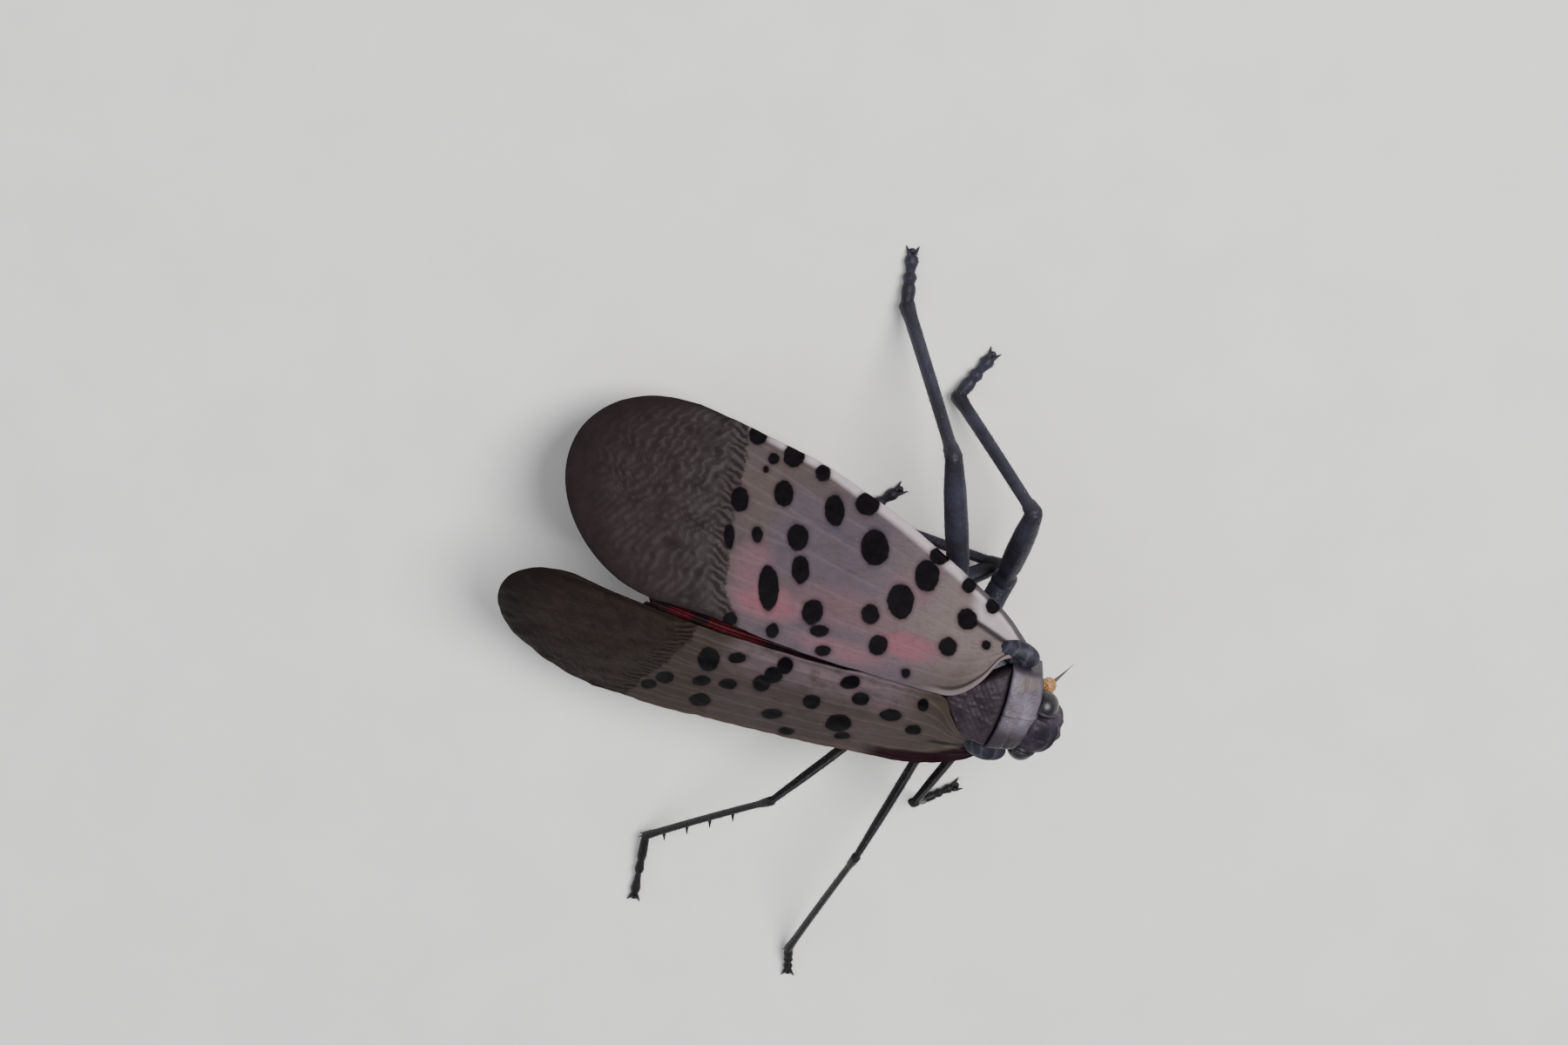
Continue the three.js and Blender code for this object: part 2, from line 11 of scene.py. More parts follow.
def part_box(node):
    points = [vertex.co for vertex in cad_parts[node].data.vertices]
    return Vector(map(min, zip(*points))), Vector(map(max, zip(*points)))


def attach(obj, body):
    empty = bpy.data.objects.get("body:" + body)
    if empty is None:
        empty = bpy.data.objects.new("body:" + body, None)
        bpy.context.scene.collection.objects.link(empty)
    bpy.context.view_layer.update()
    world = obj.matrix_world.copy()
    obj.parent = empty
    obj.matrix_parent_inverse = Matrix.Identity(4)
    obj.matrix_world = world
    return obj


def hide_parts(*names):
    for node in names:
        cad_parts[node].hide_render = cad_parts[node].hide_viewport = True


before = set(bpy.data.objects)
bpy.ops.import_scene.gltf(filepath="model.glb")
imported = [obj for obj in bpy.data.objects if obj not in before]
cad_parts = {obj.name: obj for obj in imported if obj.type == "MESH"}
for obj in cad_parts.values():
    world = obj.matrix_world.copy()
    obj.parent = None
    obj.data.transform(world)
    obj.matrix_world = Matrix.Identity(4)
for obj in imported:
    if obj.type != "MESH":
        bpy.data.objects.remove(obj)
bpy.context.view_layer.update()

# Sizes are in millimetres, laid out from the rear tip of the shield behind the neck:
# X to the animal's left, Y towards its tail, Z up from the floor.
MM = 0.001
ROOT = "root"

TORSO = dict(front=-3.7, rear=1.7, middle_z=5.5, half_width=2.2, up=1.75, down=2.25, box=2.5, neck=0.22)
PRONOTUM = dict(half_width=1.98, front=-3.98, rear=-2.16, front_sag=0.54, rear_sag=0.16)
# The left wing covers more of the shield than the right one does
SHIELD = dict(half_width=1.84, apex=0.3, left_roundness=1.2, right_roundness=2.3)
PLATE_TOP = 0.98
ABDOMEN = dict(front=0.9, rear=11.2, segments=7, half_width=2.2, up=1.55, down=1.45, middle_z=4.8)

# The head is turned and tilted about the neck. Its sections run from crown to mouth, each as height,
# half width, half depth and the Y of its middle
HEAD = dict(yaw=-7, roll=11, neck=(0, -3.4, 6.4), shift=(-0.56, 0.18, -0.05))
HEAD_SECTIONS = [
    (7.66, 0.45, 0.25, -4.15), (7.45, 0.85, 0.72, -4.2), (7.1, 0.99, 0.97, -4.3), (6.6, 1.02, 1.07, -4.35),
    (6.0, 1.06, 1.04, -4.3), (5.5, 1.0, 0.9, -4.22), (5.0, 0.8, 0.72, -4.1), (4.55, 0.57, 0.54, -3.95),
    (4.2, 0.34, 0.34, -3.85),
]
EYE = dict(place=(1.2, -4.15, 6.72), radii=(0.62, 0.62, 0.7))
ANTENNA = dict(place=(1.47, -4.1, 5.6), bulb=0.34, bristle=1.35, pimples=90, pimple=0.036)
ROSTRUM = dict(root=(0, -3.9, 4.45), bend=(-0.1, -3.0, 2.75), tip=(0, 2.2, 2.45))
NECK = [(0, -3.2, 6.3), (-0.1, -3.6, 6.35), (-0.25, -4.0, 6.35)]
TEGULA = dict(along=-2.3, across=2.8, radii=(0.6, 0.95, 0.42), rise=0.1)

# The wings lie on a roof, whose ridge is given as along and height. A wing's edges are given as along
# and across, measured down the roof from the ridge. lift raises a wing off the roof, tuck lowers its
# edge at the ridge, and ridge_lift raises a hindwing beside the ridge
ROOF = [(-4, 8.1), (0, 8.5), (3, 8.85), (6, 9.15), (10, 9.1), (14, 8.6), (20, 7.7)]
WING = dict(slope_at_ridge=33, slope_at_edge=47, span=9.4, film=0.09, hem=0.34)
FOREWINGS = {
    "left": dict(
        side=1, bulge=5.1, lift=0.12, tuck=0.0, net_scale=1.0,
        inner=[(-2.1, 2.5), (-1.55, 2.15), (-0.9, 1.1), (0.05, 0.34), (1.2, 0.22), (2.8, 0.26),
               (5.1, 0.3), (8.2, 0.42), (10.9, 0.56), (13.3, 0.42)],
        costal=[(-2.5, 3.3), (-1.2, 4.4), (0.5, 5.35), (3.4, 6.85), (6.1, 8.0), (9, 8.8), (13.8, 9.35)],
    ),
    "right": dict(
        side=-1, bulge=3.85, lift=0.02, tuck=0.2, net_scale=1.35,
        inner=[(-2.1, 2.6), (-1.55, 2.2), (-0.95, 1.68), (-0.3, 0.92), (0.2, 0.1), (1.2, -0.4),
               (2.6, -0.45), (3.6, -0.2), (5.1, -0.02), (8.2, 0.08), (12, 0.16), (16.9, -0.14)],
        costal=[(-2.5, 3.3), (-1.3, 4.9), (0.4, 6.1), (2.8, 6.45), (6.5, 7.1), (10, 7.65), (14.4, 8.45)],
    ),
}
HINDWINGS = {
    "left": dict(
        side=1, bulge=1.6, ridge_lift=0.0,
        inner=[(-0.3, 1.6), (3, 0.15), (8, -0.35), (12.9, -0.45)],
        costal=[(-0.9, 2.7), (2, 4.3), (5, 5.6), (8.5, 6.6), (11, 6.9)],
    ),
    "right": dict(
        side=-1, bulge=1.6, ridge_lift=0.16,
        inner=[(-0.3, 1.6), (3, 0.05), (8, -0.1), (12.9, -0.1)],
        costal=[(-0.9, 2.7), (2, 4.3), (5, 5.4), (8.5, 6.1), (11, 6.3)],
    ),
}
HINDWING = dict(depth=0.9, film=0.05, pleats=9, pleat_height=0.06)
FOREWING_GRID = (280, 130)
HINDWING_GRID = (110, 56)
FOREWING_VEINS = [2, 4, 6, 8, 10, 12, 14]
HINDWING_VEINS = [2, 4, 6, 8]

# Wing spots, each as along, across, long radius, short radius and the tilt of the long one in degrees
LEFT_COSTAL_SPOTS = [
    (11.1, 8.85, 0.44, 0.38, 108), (10.2, 8.1, 0.26, 0.22, 106), (9.4, 8.52, 0.52, 0.46, 101),
    (10.4, 7.5, 0.13, 0.11, 108), (8.0, 8.15, 0.36, 0.32, 102), (5.8, 7.45, 0.55, 0.5, 94),
    (2.2, 6.02, 0.46, 0.4, 161),
]
LEFT_MIDDLE_SPOTS = [
    (9.4, 6.7, 0.59, 0.42, 78), (7.1, 6.7, 0.7, 0.44, 77), (11.1, 5.8, 0.54, 0.38, 80),
    (10.0, 4.6, 0.35, 0.23, 76), (8.3, 5.0, 0.58, 0.45, 79), (11.1, 4.1, 0.53, 0.23, 75),
    (5.0, 5.6, 0.82, 0.6, 75), (7.8, 3.7, 0.61, 0.38, 75), (8.9, 2.5, 0.98, 0.44, 74),
    (2.5, 5.0, 0.7, 0.52, 75),
]
LEFT_INNER_SPOTS = [
    (3.3, 3.6, 0.76, 0.56, 75), (0.6, 5.1, 0.34, 0.3, 86), (-0.6, 4.45, 0.32, 0.3, 91),
    (0.3, 3.6, 0.47, 0.44, 89), (4.4, 2.7, 0.42, 0.38, 72), (6.8, 2.1, 0.53, 0.45, 79),
    (8.2, 0.85, 0.3, 0.29, 115), (6.3, 1.4, 0.37, 0.23, 161), (5.9, 0.7, 0.34, 0.22, 163),
    (3.7, 1.5, 0.42, 0.4, 61), (0.8, 2.2, 0.42, 0.38, 71), (-0.8, 2.7, 0.19, 0.18, 76),
    (2.2, 0.7, 0.2, 0.18, 47), (10.1, 0.75, 0.3, 0.27, 120),
]
RIGHT_OUTER_SPOTS = [
    (12.2, 6.2, 0.54, 0.29, 73), (9.9, 5.9, 0.69, 0.41, 78), (6.8, 5.0, 0.6, 0.38, 68),
    (4.0, 4.1, 0.78, 0.54, 81), (5.9, 6.3, 0.45, 0.28, 66), (3.6, 5.1, 0.42, 0.29, 62),
    (11.7, 5.0, 0.62, 0.35, 81), (10.2, 4.1, 0.54, 0.33, 74), (9.1, 3.6, 0.52, 0.34, 75),
]
RIGHT_INNER_SPOTS = [
    (10.3, 2.1, 0.98, 0.45, 96), (9.2, 1.3, 0.47, 0.33, 69), (7.8, 2.6, 0.68, 0.37, 92),
    (7.5, 1.7, 0.65, 0.37, 92), (7.2, 0.8, 0.56, 0.33, 92), (5.5, 2.9, 0.62, 0.37, 92),
    (4.3, 0.65, 0.46, 0.36, 60), (3.6, 1.6, 0.52, 0.36, 87), (2.1, 2.2, 0.56, 0.43, 76),
    (1.0, 0.85, 0.4, 0.23, 99), (0.9, 2.9, 0.48, 0.33, 88),
]
SPOTS = {
    "left": LEFT_COSTAL_SPOTS + LEFT_MIDDLE_SPOTS + LEFT_INNER_SPOTS,
    "right": RIGHT_OUTER_SPOTS + RIGHT_INNER_SPOTS,
}
# The dark crease at the root of the front edge, as its slope and where it meets along 0
CREASE = dict(slope=0.357, start=3.64)
# A rosy patch keeps its strength out to this share of its size
ROSY_CORE = 0.25
# Rosy patches of both wings, as along, across, half length, half width and strength
ROSY = [
    (8.8, 1.9, 2.4, 1.2, 0.9), (2.4, 1.8, 2.3, 1.0, 0.9), (5.2, 0.9, 3.4, 0.7, 0.6),
    (9.8, 3.2, 1.4, 1.9, 0.55), (3.0, 4.2, 1.8, 1.3, 0.4), (5.4, 2.6, 4.6, 1.6, 0.35),
]
# Where the net-veined tip starts, as across and along
TIP_BORDER = {
    "left": [(0.5, 9.6), (1.9, 10.6), (4.1, 11.0), (6.5, 11.2), (7.8, 11.3), (9.5, 11.6)],
    "right": [(0.5, 11.3), (3.3, 11.8), (6.4, 12.6), (8.5, 13.0)],
}

# flat is the thigh's width seen from above over its depth, and the shin's is half way from it to 1.
# girth multiplies the thicknesses in LEG, and knot is the radius of the joint at the thigh's root.
# The legs of the right side are slimmer and stand more on edge
LEGS = {
    "leg_fore_left": dict(
        hip=(1.1, -0.5, 3.8), trochanter=(3.9, -1.0, 3.35), knee=(8.2, -0.98, 5.6),
        ankle=(10.4, 3.29, 0.6), foot=(12.3, 2.52, 0.2), bow=0.12, spines=0,
        flat=1.0, girth=1.14, knot=0.52,
    ),
    "leg_mid_left": dict(
        hip=(1.05, -0.4, 3.9), trochanter=(2.75, 0.6, 3.5), knee=(9.75, 3.15, 6.2),
        ankle=(13.65, 6.7, 0.6), foot=(15.65, 7.15, 0.2), bow=0.14, spines=0,
        flat=1.0, girth=1.14, knot=0.37,
    ),
    "leg_hind_left": dict(
        hip=(1.0, 1.0, 3.9), trochanter=(2.0, 1.75, 2.2), knee=(4.0, -0.75, 1.85),
        ankle=(3.75, 5.6, 0.6), foot=(5.1, 4.42, 0.2), bow=0.08, spines=4,
        flat=0.9, girth=1.0, knot=0.37,
    ),
    "leg_fore_right": dict(
        hip=(-0.95, -2.0, 3.9), trochanter=(-2.4, -2.3, 3.3), knee=(-6.2, -0.35, 5.9),
        ankle=(-8.3, -1.3, 0.6), foot=(-7.5, -2.35, 0.2), bow=0.1, spines=0,
        flat=0.6, girth=0.78, knot=0.3,
    ),
    "leg_mid_right": dict(
        hip=(-1.05, -0.4, 3.9), trochanter=(-2.6, -0.7, 2.7), knee=(-9.75, 1.15, 5.4),
        ankle=(-17.2, 2.05, 0.6), foot=(-18.3, 1.75, 0.2), bow=0.14, spines=0,
        flat=0.6, girth=0.78, knot=0.3,
    ),
    "leg_hind_right": dict(
        hip=(-1.0, 1.0, 3.9), trochanter=(-2.7, 0.95, 2.6), knee=(-8.35, 5.5, 5.5),
        ankle=(-14.0, 9.8, 0.6), foot=(-17.0, 9.4, 0.2), bow=0.14, spines=4,
        flat=0.6, girth=0.78, knot=0.3,
    ),
}
LEG = dict(coxa=0.56, femur=0.43, tibia=0.25, tarsus=0.24)
SPINE_LENGTH = 0.55
# The angles of the rings that round off each end of a limb, in degrees
CAP_ANGLES = [12, 32, 55, 75]
# Bristles, with sizes in metres and density for each square metre of skin
LEG_BRISTLES = dict(Density=1.6e7, Length=0.00017, Thickness=0.000009)
BODY_BRISTLES = dict(Density=9.0e6, Length=0.00014, Thickness=0.000008)

# The camera looks down on the back from the animal's left, as the photo does
VIEW = dict(lean_left=0.42, lean_back=0.12, roll=17.5, target=(0, 0, 8.0), distance=260, px_per_mm=26.8)
PHOTO = dict(width=1800, height=1200, target_x=1091, target_y=799)
SENSOR_MM = 36

# Floor and light, in metres and watts
FLOOR_REACH = 1.5
SKY = dict(color=(0.93, 0.96, 1.0), strength=0.41)
LIGHTS = {
    "key": dict(place=(0.17, -0.12, 0.32), size=0.2, power=1.9, color=(1.0, 0.98, 0.96)),
    "fill": dict(place=(-0.2, 0.26, 0.3), size=0.4, power=0.35, color=(0.95, 0.97, 1.0)),
}
LIGHT_AIM = (0, 0, 0.004)

# The layout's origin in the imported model's frame, from the thorax that stands round it
thorax_low, thorax_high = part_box("thorax")
thorax_middle_y = (TORSO["front"] + TORSO["rear"]) / 2
ORIGIN = np.array([
    (thorax_low.x + thorax_high.x) / 2,
    (thorax_low.y + thorax_high.y) / 2 - thorax_middle_y * MM,
    0.0,
])


# Shader maths

class Value:
    """A number that varies over a surface. An expression on it adds Math nodes."""

    def __init__(self, paint, socket):
        self.paint = paint
        self.socket = socket

    def maths(self, operation, *others):
        sockets = {i: v for i, v in enumerate((self, *others))}
        return self.paint.node("ShaderNodeMath", {"operation": operation}, sockets)

    def __add__(self, other):
        return self.maths("ADD", other)

    def __sub__(self, other):
        return self.maths("SUBTRACT", other)

    def __mul__(self, other):
        return self.maths("MULTIPLY", other)

    def __rsub__(self, other):
        return self.paint.node("ShaderNodeMath", {"operation": "SUBTRACT"}, {0: other, 1: self})

    __radd__ = __add__
    __rmul__ = __mul__

    def smaller(self, other):
        return self.maths("MINIMUM", other)

    def larger(self, other):
        return self.maths("MAXIMUM", other)

    def fraction(self):
        return self.maths("FRACT")

    def size(self):
        return self.maths("ABSOLUTE")

    def rise(self, low, high):
        """0 below low and 1 above high, with a soft step between."""
        ends = {"From Min": low, "From Max": high, "To Min": 0.0, "To Max": 1.0}
        return self.paint.node(
            "ShaderNodeMapRange", {"interpolation_type": "SMOOTHSTEP"}, {"Value": self, **ends}, "Result",
        )


class Paint:
    """One material and the nodes that make it."""

    def __init__(self, name):
        self.material = bpy.data.materials.new(name)
        self.material.use_nodes = True
        self.tree = self.material.node_tree
        self.shader = self.tree.nodes["Principled BSDF"]

    def node(self, kind, settings=None, inputs=None, output=0):
        made = self.tree.nodes.new(kind)
        for key, value in (settings or {}).items():
            setattr(made, key, value)
        for key, value in (inputs or {}).items():
            self.feed(made.inputs[key], value)
        return Value(self, made.outputs[output])

    def feed(self, socket, value):
        if isinstance(value, Value):
            self.tree.links.new(value.socket, socket)
        elif isinstance(value, tuple) and len(value) == 3 and len(socket.default_value) == 4:
            socket.default_value = (*value, 1.0)
        else:
            socket.default_value = value

    def place(self):
        return self.node("ShaderNodeTexCoord", output="Object")

    def attribute(self, name):
        return self.node("ShaderNodeAttribute", {"attribute_name": name}, output="Fac")

    def noise(self, place, scale, detail=3.0, roughness=0.55):
        return self.node(
            "ShaderNodeTexNoise", {"noise_dimensions": "3D"},
            {"Vector": place, "Scale": scale, "Detail": detail, "Roughness": roughness}, "Fac",
        )

    def cells(self, place, scale):
        return self.node("ShaderNodeTexVoronoi", {}, {"Vector": place, "Scale": scale}, "Distance")

    def vector(self, x, y):
        return self.node("ShaderNodeCombineXYZ", {}, {"X": x, "Y": y})

    def blend(self, amount, below, above):
        """A colour between two others."""
        made = self.tree.nodes.new("ShaderNodeMix")
        made.data_type = "RGBA"
        sockets = {s.identifier: s for s in made.inputs}
        self.feed(sockets["Factor_Float"], amount)
        self.feed(sockets["A_Color"], below)
        self.feed(sockets["B_Color"], above)
        outputs = {s.identifier: s for s in made.outputs}
        return Value(self, outputs["Result_Color"])

    def relief(self, height, depth_mm):
        inputs = {"Height": height, "Distance": depth_mm * MM, "Strength": 1.0}
        return self.node("ShaderNodeBump", {}, inputs, "Normal")

    def finish(self, color, roughness, normal=None, **constants):
        """Constants are named as the shader's sockets, with _ for each space."""
        self.feed(self.shader.inputs["Base Color"], color)
        self.feed(self.shader.inputs["Roughness"], roughness)
        if normal is not None:
            self.feed(self.shader.inputs["Normal"], normal)
        for name, value in constants.items():
            self.feed(self.shader.inputs[name.replace("_", " ")], value)
        return self.material


def tone(red, green, blue):
    """A colour read as 0 to 255 display values, as linear light."""
    def linear(value):
        value = value / 255
        return value / 12.92 if value <= 0.04045 else ((value + 0.055) / 1.055) ** 2.4
    return (linear(red), linear(green), linear(blue))


# Materials

def cuticle_skin():
    """Hard skin: mottled, with a fine grain and shallow dents."""
    paint = Paint("cuticle_dark")
    place = paint.place()
    dark = tone(24, 22, 30)
    mottle = paint.noise(place, 900.0, 4.0).rise(0.35, 0.7)
    grains = paint.cells(place, 9000.0)
    dents = paint.noise(place, 4200.0, 3.0)
    color = paint.blend(mottle, dark, tone(52, 47, 58))
    color = paint.blend(grains.rise(0.45, 0.75) * 0.35, color, tuple(c * 0.55 for c in dark))
    normal = paint.relief(grains + dents * 1.5, 0.012)
    return paint.finish(color, 0.4 + dents * 0.18, normal, Specular_IOR_Level=0.35)


def head_skin():
    paint = Paint("head_dark")
    place = paint.place()
    face = paint.attribute("face")
    mottle = paint.noise(place, 1200.0, 5.0).rise(0.35, 0.7)
    grains = paint.cells(place, 8000.0)
    wrinkles = paint.noise(place, 4200.0, 4.0, 0.7)
    color = paint.blend(mottle, tone(25, 20, 28), tone(50, 41, 55))
    color = paint.blend((1 - face.rise(0.16, 0.3)) * 0.6, color, tone(24, 22, 31))
    color = paint.blend(grains.rise(0.5, 0.8) * 0.4, color, tone(22, 20, 26))
    normal = paint.relief(wrinkles + grains * 0.4, 0.025)
    return paint.finish(color, 0.42 + wrinkles * 0.2, normal, Specular_IOR_Level=0.24)


def pronotum_skin():
    paint = Paint("pronotum_mauve")
    place = paint.place()
    across = paint.attribute("across")
    mottle = paint.noise(place, 1100.0, 5.0).rise(0.3, 0.75)
    wrinkles = paint.noise(place, 3600.0, 4.0, 0.7)
    blotches = paint.noise(place, 620.0, 2.0)
    # Painted shade: the collar's right end, which lies away from the light, and at half strength its left
    # edge beside the wing root, darkened
    painted_shade_right = 1 - across.rise(-1.25, -0.1)
    painted_shade_left = across.rise(1.4, 1.9) * 0.5
    # Painted shade: the collar darkened along its edges, for the gaps round it such as the groove before
    # the shield
    clear_of_edge_shade = paint.attribute("edge").rise(0.0, 0.16)
    color = paint.blend(mottle, tone(82, 75, 83), tone(120, 112, 126))
    color = paint.blend(blotches.rise(0.55, 0.7) * 0.5, color, tone(104, 96, 84))
    color = paint.blend(painted_shade_right.larger(painted_shade_left) * 0.92, color, tone(45, 40, 45))
    color = paint.blend((1 - clear_of_edge_shade) * 0.85, color, tone(36, 27, 40))
    color = paint.blend(wrinkles.rise(0.6, 0.74) * 0.4, color, tone(56, 49, 57))
    normal = paint.relief(wrinkles, 0.035)
    return paint.finish(color, 0.42 + mottle * 0.15, normal, Specular_IOR_Level=0.25)


def shield_skin():
    paint = Paint("shield_brown")
    place = paint.place()
    mottle = paint.noise(place, 1300.0, 5.0).rise(0.35, 0.7)
    grains = paint.cells(place, 7000.0)
    wrinkles = paint.noise(place, 3000.0, 4.0, 0.65)
    edge = paint.attribute("edge").rise(0.0, 0.3)
    color = paint.blend(mottle, tone(38, 30, 37), tone(53, 44, 52))
    # Painted shade: the shield darkened along its edges, in the gaps where it meets the collar and the
    # wings
    color = paint.blend((1 - edge) * 0.8, color, tone(28, 18, 26))
    color = paint.blend(grains.rise(0.5, 0.8) * 0.18, color, tone(26, 20, 27))
    normal = paint.relief(wrinkles + grains * 0.35, 0.009)
    return paint.finish(color, 0.5 + mottle * 0.12, normal, Specular_IOR_Level=0.22)


def root_skin():
    """The slate-blue caps over the wing roots, with paler wavy lines."""
    paint = Paint("wing_root_slate")
    place = paint.place()
    mottle = paint.noise(place, 1500.0, 4.0)
    wrinkles = paint.noise(place, 3400.0, 4.0, 0.65)
    lines = paint.node(
        "ShaderNodeTexWave", {"wave_type": "BANDS", "bands_direction": "Y"},
        {"Vector": place, "Scale": 620.0, "Distortion": 5.0, "Detail": 2.0, "Detail Scale": 2.0}, "Fac",
    )
    color = paint.blend(mottle.rise(0.35, 0.7), tone(27, 26, 34), tone(46, 45, 57))
    color = paint.blend(lines.rise(0.78, 0.95) * 0.35, color, tone(76, 74, 86))
    normal = paint.relief(wrinkles + lines * 0.6, 0.03)
    return paint.finish(color, 0.46 + mottle * 0.15, normal, Specular_IOR_Level=0.25)


def eye_lens():
    paint = Paint("eye_facets")
    place = paint.place()
    facets = paint.cells(place, 15000.0)
    depth = paint.noise(place, 900.0, 2.0)
    color = paint.blend(depth.rise(0.35, 0.7), tone(8, 8, 15), tone(22, 19, 31))
    color = paint.blend(facets.rise(0.4, 0.7) * 0.5, color, tone(8, 8, 10))
    normal = paint.relief(1 - facets, 0.006)
    return paint.finish(color, 0.4, normal, Coat_Weight=0.12, Coat_Roughness=0.3)


def antenna_skin():
    paint = Paint("antenna_orange")
    place = paint.place()
    pimples = paint.cells(place, 7500.0)
    shade = paint.noise(place, 1500.0, 3.0)
    color = paint.blend(shade.rise(0.35, 0.7), tone(150, 96, 44), tone(200, 166, 118))
    color = paint.blend(pimples.rise(0.25, 0.5) * 0.35, color, tone(96, 48, 18))
    normal = paint.relief(1 - pimples, 0.02)
    return paint.finish(color, 0.38 + shade * 0.1, normal)


def leg_skin(name, dark, pale):
    paint = Paint(name)
    place = paint.place()
    shade = paint.noise(place, 700.0, 4.0)
    grains = paint.cells(place, 8000.0)
    scratches = paint.noise(place, 5200.0, 4.0, 0.7)
    near_joint = paint.attribute("joint").rise(0.55, 1.0)
    color = paint.blend(shade.rise(0.35, 0.68), dark, pale)
    color = paint.blend(near_joint * 0.4, color, tone(20, 14, 18))
    normal = paint.relief(grains + scratches * 1.4, 0.014)
    return paint.finish(color, 0.4 + scratches * 0.25, normal, Specular_IOR_Level=0.3)


def bristle_skin():
    paint = Paint("bristle_dark")
    shade = paint.noise(paint.place(), 2500.0, 2.0)
    color = paint.blend(shade.rise(0.3, 0.7), tone(22, 20, 26), tone(70, 62, 64))
    return paint.finish(color, 0.35 + shade * 0.15)


def wing_skin(name, tones):
    """The forewing: leathery base with black spots, and a dark tip under a net of pale veins."""
    paint = Paint(name)
    along = paint.attribute("along")
    across = paint.attribute("across")
    spot = paint.attribute("spot")
    tip_distance = paint.attribute("tip")
    rim = paint.attribute("rim")
    inner = paint.attribute("inner")
    front_distance = paint.attribute("front")
    vein = paint.attribute("vein")
    net = paint.attribute("net")
    rosy = paint.attribute("rosy")
    plan = paint.vector(along, across)
    fine = paint.noise(plan, 5.0, 5.0, 0.6)
    broad = paint.noise(plan, 0.55, 3.0)
    cloudy = paint.noise(plan, 1.3, 4.0)
    streaks = paint.noise(paint.vector(along * 0.22, across), 2.2, 4.0)
    hairlines = paint.noise(paint.vector(along * 0.5, across * 3.0), 4.0, 3.0)

    # Base of the wing: tan near the tip, paler at the root, blue-grey in its middle, rosy patches
    middle = along.rise(0.4, 2.6) * (1 - along.rise(8.6, 10.4))
    outer_band = across.rise(2.2, 3.8) * (1 - across.rise(6.4, 7.8)) * tones["outer_grey"]
    ridge_band = 1 - across.rise(1.2, 3.0)
    grey = middle * outer_band.larger(ridge_band * 0.9)
    patchy = rosy * (0.4 + streaks * 1.1) * tones["rosy_amount"]
    pale_root = (1 - along.rise(0.4, 6.0)) * across.rise(0.4, 2.4)
    color = paint.blend(broad.rise(0.35, 0.65), tones["tan"], tones["greige"])
    color = paint.blend(grey * cloudy.rise(0.2, 0.55) * 0.9, color, tones["mauve"])
    color = paint.blend(grey * streaks.rise(0.5, 0.7) * 0.6, color, tones["blue"])
    color = paint.blend(pale_root * tones["root_light"], color, tones["root"])
    color = paint.blend(patchy.rise(0.0, 0.6) * 0.85, color, tones["pink"])
    color = paint.blend(patchy.rise(0.4, 1.1) * 0.75, color, tones["rose"])
    color = paint.blend(hairlines.rise(0.52, 0.72) * 0.28, color, tones["freckle"])
    color = paint.blend(fine.rise(0.5, 0.75) * 0.22, color, tones["freckle"])
    color = paint.blend(vein.rise(0.3, 0.85) * 0.13, color, tones["vein"])

    # The pale front edge, a lobe of it parted by a dark crease at the root, and the inner hem
    front = (1 - front_distance.rise(0.3, 0.62)) * tones["edge_amount"]
    front = front * (1 - along.rise(9.0, 11.5) * 0.6)
    color = paint.blend(front, color, tones["edge"])
    beside_crease = across - along * CREASE["slope"] - CREASE["start"]
    crease = beside_crease.size()
    crease_length = 1 - along.rise(-0.3, 0.5)
    lobe = beside_crease.rise(0.0, 0.15) * crease_length
    color = paint.blend(lobe * tones["edge_amount"] * 0.8, color, tones["edge"])
    color = paint.blend((1 - crease.rise(0.04, 0.24)) * crease_length * 0.85, color, tones["crease"])
    hem = (1 - inner.rise(0.15, 0.24)) * (1 - along.rise(0.2, 1.6)) * tones["hem_amount"]
    hem_line = (1 - (inner - 0.29).size().rise(0.0, 0.09)) * (1 - along.rise(0.2, 1.2))
    color = paint.blend(hem * 0.75, color, tones["hem"])
    color = paint.blend(hem_line * tones["hem_amount"] * 0.6, color, tones["crease"])
    root_edge = (1 - front_distance.rise(*tones["root_band"])) * (1 - along.rise(0.2, 1.4))
    color = paint.blend(root_edge * 0.85, color, tones["crease"])
    shade = (1 - front_distance.rise(0.95, 1.3)) * (1 - along.rise(1.7, 2.9)) * tones["root_shade"]
    color = paint.blend(shade, color, tones["shade"])

    # Tip: dark, under wavering pale strokes that fade away from its border, with a darker rim
    rim_dark = 1 - rim.rise(0.1, 0.9)
    beyond = tip_distance.rise(0.6, 3.6)
    tip_color = paint.blend(cloudy.rise(0.3, 0.7), tones["tip"], tones["tip_brown"])
    tip_color = paint.blend((1 - beyond) * cloudy.rise(0.35, 0.65) * 0.6, tip_color, tones["tip_grey"])
    strokes = (net * (0.4 + fine * 1.1)).smaller(1.0) * (1 - beyond * 0.5)
    tip_color = paint.blend(strokes * (1 - rim_dark * 0.7) * tones["net_amount"], tip_color, tones["net"])
    tip_color = paint.blend(rim_dark * 0.75, tip_color, tones["tip_rim"])
    waver = (paint.noise(plan, 1.1, 3.0) - 0.5) * 2.4
    slant = across - along * 0.4
    dash = (((slant * 2.9 + waver).fraction() - 0.5).size() * 2.0).rise(0.3, 0.75)
    ragged_border = tip_distance + (fine - 0.5) * 0.5 + waver * 0.16
    fringe = ragged_border.rise(-0.1, 0.15) * (1 - ragged_border.rise(0.45, 1.15))
    tip_color = paint.blend(fringe * 0.6, tip_color, tones["net"])
    tip_color = paint.blend(fringe * (1 - dash) * 0.85, tip_color, tones["tip_rim"])
    color = paint.blend(ragged_border.rise(-0.06, 0.1), color, tip_color)

